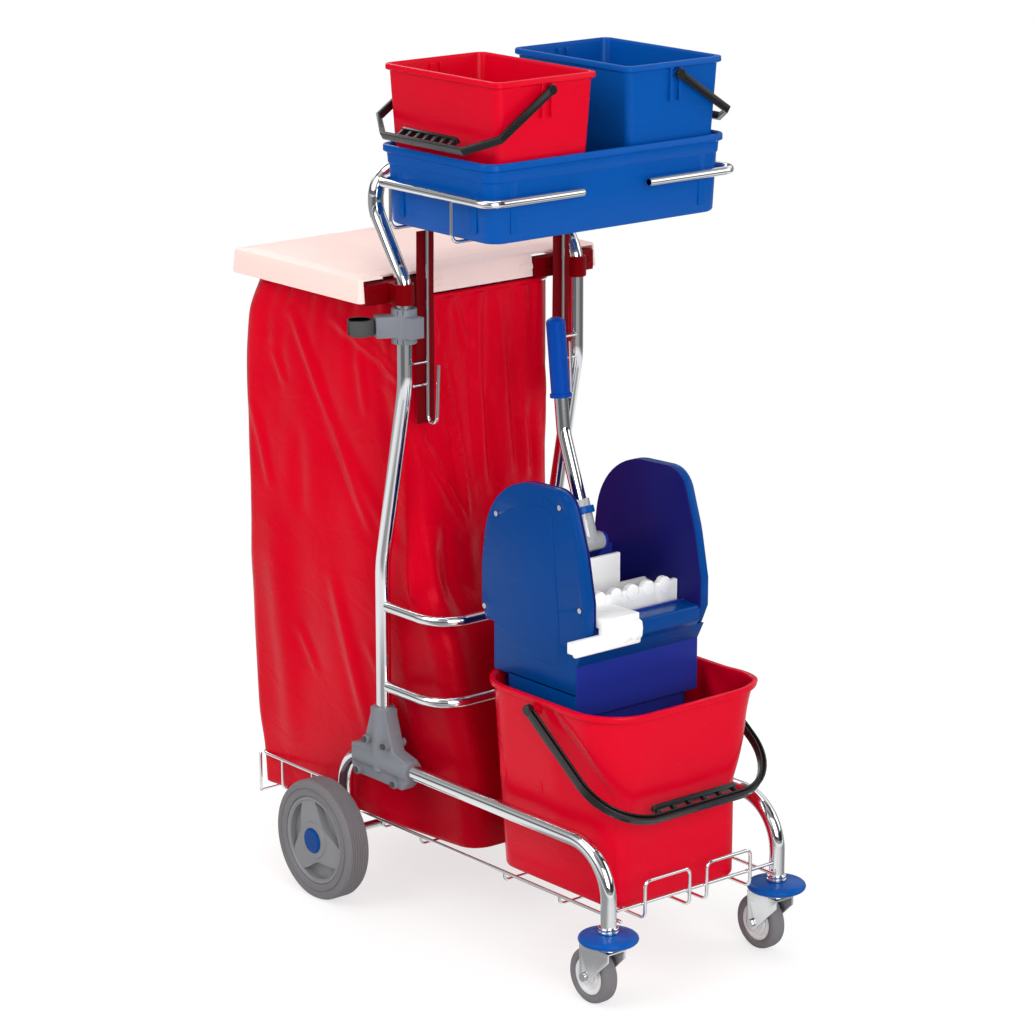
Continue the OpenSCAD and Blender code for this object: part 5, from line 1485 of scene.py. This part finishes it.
    @staticmethod
    def _map(mesh: bpy.types.Mesh, points: np.ndarray, around: np.ndarray) -> None:
        """Gives the cloth a map in metres: round the bag and down it."""
        fall = np.linalg.norm(np.diff(points, axis=0), axis=-1).mean(axis=1)
        down = np.concatenate([[0.0], np.cumsum(fall)])
        along = np.append(around, around[-1] + around[1])
        layer = mesh.uv_layers.active
        layer.name = "cloth"
        for loop in mesh.loops:
            row, column = divmod(loop.vertex_index, len(along))
            layer.data[loop.index].uv = (along[column] * MM, down[row] * MM)


@dataclass
class Straps(Assembly):
    """Two lengths of red webbing that hang behind the hook wires, each with a turned and sewn end; their
    colour is darkened with painted shade from the tray above.
    """

    x: float = 155.2
    y: float = 124.0
    width: float = 30.0
    top_z: float = 1009.0
    low_z: float = 735.0
    thick: float = 1.4

    def build(self) -> None:
        """Makes both straps as one piece."""
        piece = Bench.join(*(self._strap(side) for side in Side))
        # The webbing's colour carries painted shade from the tray above.
        self.settle(piece, "bag_straps_woven", "frame", "bag_fabric", STRAP_RED_IN_SHADE, ["bag_straps"], smooth=50.0)

    def _strap(self, side: Side) -> Piece:
        """One strap: a plane that is cut fine, waved, and given its thickness."""
        Bench.fresh()
        bpy.ops.mesh.primitive_plane_add(size=1.0)
        piece = bpy.context.active_object
        with Bench.editing(piece):
            bpy.ops.mesh.select_all(action="SELECT")
            bpy.ops.mesh.subdivide(number_cuts=47)
        layer = piece.data.uv_layers.active
        layer.name = "cloth"
        length = self.top_z - self.low_z
        for loop in piece.data.loops:
            spot = piece.data.vertices[loop.vertex_index].co
            layer.data[loop.index].uv = (spot.x * self.width * MM, spot.y * length * MM)
        for vertex in piece.data.vertices:
            across, along = vertex.co.x * self.width, (vertex.co.y + 0.5) * length
            cup = 0.7 * (abs(vertex.co.x) * 2) ** 3
            wave = 0.5 * math.sin(along / 31 + side.value) - 0.5
            seam = 0.5 if 8 < along < 46 and abs(vertex.co.x) < 0.44 else 0.0
            vertex.co = place(self.x + wave - cup * 0.6 + seam, side.value * self.y + across,
                              self.low_z + along)
        wall = piece.modifiers.new("wall", "SOLIDIFY")
        wall.thickness = self.thick * MM
        wall.offset = 0.0
        Bench.apply(piece, "wall")
        return piece


@dataclass
class Lid(Assembly):
    """The pale lid with faint facets on its top, and the red brackets that carry it."""

    x: float = -26.0
    top_z: float = 945.6
    height: float = 34.0
    length: float = 308.0
    width: float = 436.0
    taper: float = 4.0
    wall: float = 3.0
    rear_corner: float = 10.0
    front_corner: float = 9.0
    hinge: tuple[float, float] = (120.0, 925.6)
    tongue: float = 94.0
    upright: tuple[float, float] = (149.0, 157.0)
    border: float = 26.0
    relief: float = 1.3

    def build(self) -> None:
        """Makes the lid, lays its facets on it, and makes the brackets."""
        self.settle(self._cover(), "lid_moulded", "lid", "pale_plastic", PEACH, ["lid"])
        self.settle(self._facets(), "lid_facets", "lid", "pale_plastic", PEACH, smooth=1.0)
        for side in Side:
            node = f"lid_bracket_{side.label}"
            self.settle(self._bracket(side), node + "_moulded", "frame", "red_plastic", BRACKET_RED, [node])

    def _outline(self, grow: float, drop: float) -> np.ndarray:
        """A level of the lid: its outline at a depth below the top, grown by an amount."""
        half_l, half_w = self.length / 2 + grow, self.width / 2 + grow
        f, r = max(self.front_corner + grow, 1.0), max(self.rear_corner + grow, 1.0)
        arcs = arcs_of(((half_l - f, half_w - f, 0, f), (r - half_l, half_w - r, 90, r),
                        (r - half_l, r - half_w, 180, r), (half_l - f, f - half_w, 270, f)), 13)
        flat = np.concatenate(arcs) + (self.x, 0.0)
        return np.c_[flat, np.full(len(flat), self.top_z - drop)]

    def _cover(self) -> Piece:
        """The hollow cover, cut out at the front for the brackets and the uprights, with its hinge lugs."""
        t, w, h = self.taper, self.wall, self.height
        steps = [(-t - 40, 0.0), (-t - 3, 0.0), (-t - 1, 0.5), (-t - 0.2, 1.6), (-t + 0.6, 3.4),
                 (-0.7, h - 2.4), (-0.4, h - 0.8), (-0.9, h), (-w + 0.4, h), (-w, h - 0.6), (-t - w, w)]
        rings = [self._outline(grow, drop) for grow, drop in steps]
        top = np.tile((self.x, 0.0, self.top_z), (len(rings[0]), 1))
        cover = Bench.lofted(np.stack([top, *rings, top - (0.0, 0.0, w)]))
        Bench.sew(cover)
        low, half = self.top_z - h - 4, self.width / 2
        tools = []
        for side in Side:
            ys = (side.value * self.tongue, side.value * (half - 9.0))
            tools.append(Bench.block((101.5, 140), ys, (low, self.top_z - 3.2), 0.4))
        Bench.cut(cover, *tools)
        slots = []
        for side in Side:
            middle = side.value * self.upright[1]
            slots.append(Bench.block((115.2, 140), (middle - 18, middle + 18), (low, self.top_z + 6), 0.4))
        Bench.cut(cover, *slots)
        lugs = []
        for side in Side:
            start = side.value * (self.tongue - 24)
            turn = stand(self.hinge[0], start, self.hinge[1], -side.value)
            lugs.append(Bench.turned([(3.1, 0), (8, 0), (8, 24), (3.1, 24)], turn, 32))
        return Bench.join(cover, *lugs)

    def _bracket(self, side: Side) -> Piece:
        """A block below the front of the lid, with a collar round the upright and the lid's hinge pin."""
        low, high = 907.8, 937.4
        ys = (side.value * (self.tongue + 2.4), side.value * (self.width / 2 - 11.0))
        block = Bench.block((112.2, 129.8), ys, (low, high), 1.6)
        x, y = self.upright[0], side.value * self.upright[1]
        neck = Bench.block((128, x), (y - 13, y + 13), (low, high), 1.6)
        ring = [(11.3, low), (14, low), (15, low + 1), (15, high - 1), (14, high), (11.3, high)]
        collar = Bench.turned(ring, stand(x, y, 0), 48)
        turn = stand(self.hinge[0], ys[0], self.hinge[1], side.value)
        pin = Bench.turned([(0, -3), (3, -3), (3, 17), (2.4, 17.6), (0, 17.6)], turn, 28)
        bolts = []
        for offset in (-34, 40):
            face = stand(129.4, y + side.value * offset, 923, 1, "Y")
            bolts.append(Bench.turned([(0, 0), (5, 0), (5, 1.6), (4, 2.4), (0, 2.4)], face, 28))
        return Bench.join(block, neck, collar, pin, *bolts)

    def _facets(self) -> Piece:
        """A thin plate whose cells are poked to low pyramids."""
        length = self.length - 2 * self.border - 14
        half = self.width / 2 - self.border
        middle = self.x - 8
        Bench.fresh()
        bpy.ops.mesh.primitive_grid_add(x_subdivisions=2, y_subdivisions=3, size=1.0,
                                        location=place(middle, 0, self.top_z + 0.5))
        piece = bpy.context.active_object
        piece.scale = (length * MM, 2 * half * MM, 1.0)
        bpy.ops.object.transform_apply(location=True, rotation=True, scale=True)
        with Bench.editing(piece):
            bpy.ops.mesh.select_all(action="SELECT")
            bpy.ops.mesh.poke(offset=self.relief * MM)
            Bench.pick(piece, Part.EDGE, lambda e: e.is_boundary)
            bpy.ops.mesh.extrude_region_move(TRANSFORM_OT_translate={"value": (0, 0, -1.2 * MM)})
            bpy.ops.transform.resize(value=(1.012, 1.008, 1.0), center_override=place(middle, 0, self.top_z))
        return piece


@dataclass
class Wringer(Assembly):
    """The blue wringer: body, cheeks with panel lines, white press plates and the lever."""

    cheek_face: float = 112.0
    panel_rise: float = 0.9
    plate_y: float = 95.0
    plate_t: float = 2.9
    rear_x: float = 299.0
    front_x: float = 457.0
    low_z: float = 300.3
    wall: float = 4.0
    front_top: float = 505.0
    shaft: tuple[float, float] = (363.0, 583.0)
    lever_lean: tuple[float, float] = (-56.0, 148.0)
    fins: tuple[float, float] = (-60.0, -38.0)
    shell_x: float = 467.0

    def build(self) -> None:
        """Makes the body, softens the other mouldings, and adds panels, apron, fins and ring."""
        self.settle(self._body(), "wringer_body_moulded", "wringer", "blue_plastic", VIOLET_BLUE,
                    ["wringer_body"])
        for side in Side:
            self.soften(f"wringer_cheek_{side.label}", "wringer", "blue_plastic", CHEEK_BLUE, 2.0)
            self.settle(self._panel(side), f"cheek_panel_{side.label}", "wringer", "blue_plastic", CHEEK_BLUE)
        plates = [self._side_plate(side, z) for side, z in ((Side.LEFT, 508.0), (Side.RIGHT, 624.0))]
        # The side plates wear the painted shade blue: their inner faces are seen in shade.
        self.settle(Bench.join(*plates), "wringer_side_plates", "wringer", "blue_plastic", PAINTED_SHADE_BLUE)
        self.settle(self._apron(), "wringer_apron", "wringer", "blue_plastic", CHEEK_BLUE)
        front = Bench.block((462, self.shell_x), (-self.cheek_face, self.cheek_face), (372, 449), 1.6)
        self.settle(front, "wringer_front_shell", "wringer", "blue_plastic", VIOLET_BLUE)
        self.soften("press_plate_rear", "press", "white_plastic", WHITE, 0.9)
        self.soften("press_plate_front", "wringer", "white_plastic", WHITE, 1.2)
        self.soften("lever_shaft", "lever", "grey_plastic", SOCKET_GREY, 0.8)
        self.dress("lever_grip", GRIP_BLUE)
        self.settle(self._ring(), "lever_ring", "lever", "blue_plastic", BLUE)
        self.settle(self._fins(), "press_fins", "wringer", "white_plastic", WHITE)

    def _body(self) -> Piece:
        """The open box with its bearing rib and drained floor, without its sides."""
        y, low, wall = self.plate_y, self.low_z, self.wall
        rear, front = self.rear_x, self.front_x
        made = [Bench.block((rear, rear + wall), (-y - 1, y + 1), (low, 553), 0.8),
                Bench.block((front - wall, front), (-y - 1, y + 1), (low, self.front_top), 0.8)]
        floor = Bench.block((rear, front), (-y - 1, y + 1), (low, low + wall), 0.8)
        drains = [Bench.block((x, x + 10), (k - 20, k + 20), (low - 2, low + wall + 2), 2.0)
                  for x in range(319, 427, 24) for k in (-60, 0, 60)]
        made.append(Bench.cut(floor, *drains))
        x, z = self.shaft
        rib = [(rear + 1, z - 90), (x, z - 12), (x + 8.5, z - 8.5), (x + 12, z), (x + 8.5, z + 8.5),
               (x, z + 12), (rear + 1, z - 34)]
        made.append(Bench.cut(Bench.slab(rib, 20.3, 26.3, 0.8), self._bore()))
        return Bench.join(*made)

    def _apron(self) -> Piece:
        """The ledge between the cheeks, and the slope below it that leads to the front of the shell."""
        ledge = [(456, 503), (485, 501.5), (487, 499), (487, 480), (481, 472), (456, 472)]
        slope = [(456, 472), (480, 472), (self.shell_x, 447), (456, 447)]
        return Bench.join(Bench.slab(ledge, -96.6, 96.6, 1.4),
                          Bench.slab(slope, -self.cheek_face, self.cheek_face, 1.4))

    def _bore(self) -> Piece:
        """The room that the shaft turns in."""
        turn = stand(self.shaft[0], 0, self.shaft[1], -1)
        return Bench.turned([(0, -130), (7.3, -130), (7.3, 40), (0, 40)], turn, 40)

    def _side_plate(self, side: Side, slot_z: float) -> Piece:
        """A side plate with the shape of a cheek, carried down to the floor, with a slot for the press."""
        ys = sorted((side.value * self.plate_y, side.value * (self.plate_y + self.plate_t)))
        line = [*self._crown(), (self.front_x, 472), (self.front_x, self.low_z), (self.rear_x, self.low_z),
                (self.rear_x, 472)]
        plate = Bench.slab(line, *ys, 0.6)
        slot = Bench.block((self.shaft[0] + 8, self.shaft[0] + 68), (ys[0] - 2, ys[1] + 2),
                           (slot_z - 0.3, slot_z + 8.3), 0.5)
        return Bench.cut(plate, slot) if side is Side.LEFT else Bench.cut(plate, slot, self._bore())

    @staticmethod
    def _crown() -> list[tuple[float, float]]:
        """The upper line of a cheek, from its lower rear corner over the top to its lower front corner."""
        spots = [(272, 472), (262, 499), (262, 553), (488, 540), (488, 499), (476, 472)]
        for x, z, r in ((372, 582, 105), (418, 649, 40)):
            turns = [math.radians(a) for a in range(0, 181, 6)]
            spots += [(x + r * math.cos(a), z + r * math.sin(a)) for a in turns]
        spots.sort()
        upper = []
        for spot in spots:
            while len(upper) > 1 and Wringer._turn(upper[-2], upper[-1], spot) >= 0:
                upper.pop()
            upper.append(spot)
        return [(272, 472), (262, 499), *(s for s in upper if s[1] > 499.5), (488, 499), (476, 472)]

    @staticmethod
    def _turn(a: tuple[float, float], b: tuple[float, float], c: tuple[float, float]) -> float:
        """Says which way a path turns at its middle point."""
        return (b[0] - a[0]) * (c[1] - a[1]) - (b[1] - a[1]) * (c[0] - a[0])

    def _panel(self, side: Side) -> Piece:
        """The raised field of a cheek, which ends short of its front and top edges."""
        ring = [(430, 440), (430, 500), (414, 650), (410, 656), (403, 658.5), (391, 659), (371, 656.5),
                (351, 652), (324, 642), (300, 627), (282, 606), (270, 580), (266, 555), (266, 500),
                (276, 477), (291, 475), (291, 440)]
        sunk = 0.4
        start, end = (side.value * (self.cheek_face + y) for y in (-sunk, self.panel_rise))
        field = Bench.slab(ring, start, end, 0.6)
        ys = (side.value * 101.0, side.value * (self.cheek_face + 0.45))
        skirt = Bench.block((290, self.shell_x - 1), ys, (404, 474), 1.2)
        foot = Bench.block((322, self.shell_x - 1), ys, (372, 408), 1.2)
        return Bench.join(field, skirt, foot)

    def _ring(self) -> Piece:
        """The blue band on the lever's socket."""
        lean = Vector((self.lever_lean[0], 0.0, self.lever_lean[1])).normalized()
        turn = stand(self.shaft[0], 0, self.shaft[1]) @ lean.to_track_quat("Z", "Y").to_matrix().to_4x4()
        return Bench.turned([(13.4, 40), (16.5, 40), (17.6, 41.2), (17.6, 49), (16.5, 50.2), (13.4, 50.2)],
                            turn, 48)

    def _fins(self) -> Piece:
        """Two upright fins that the front plate is lifted out by, on a thick rounded bar."""
        bar = Bench.block((501, 509), (-150, -31), (477, 500), 3.4)
        line = [(503, 482), (512, 484), (516, 490), (517, 502), (515, 511), (509, 513), (503, 508)]
        made = [Bench.slab(line, y - 3, y + 3, 1.6) for y in self.fins]
        web = Bench.block((503, 511), self.fins, (487, 503), 1.6)
        return Bench.join(bar, web, *made)


@dataclass
class MopHolder(Assembly):
    """The grey clamp on the right upright and its black rubber clip."""

    def build(self) -> None:
        """Softens both pieces."""
        self.soften("mop_clamp", "frame", "grey_plastic", GREY, 1.4)
        self.soften("mop_clip", "frame", "black_rubber", RUBBER, 1.2)


def main() -> None:
    """Builds the stage and every sub-assembly."""
    logging.basicConfig(level=logging.INFO, format="%(name)s: %(message)s")
    effects = Effects()
    Studio().build()
    for group in (Chassis, RearWheels, Casters, Tray, Bucket, WasteBag, Straps, Lid, Wringer, MopHolder):
        LOG.info("building %s", group.__name__)
        group(effects).build()
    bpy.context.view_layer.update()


if __name__ == "__main__":
    main()
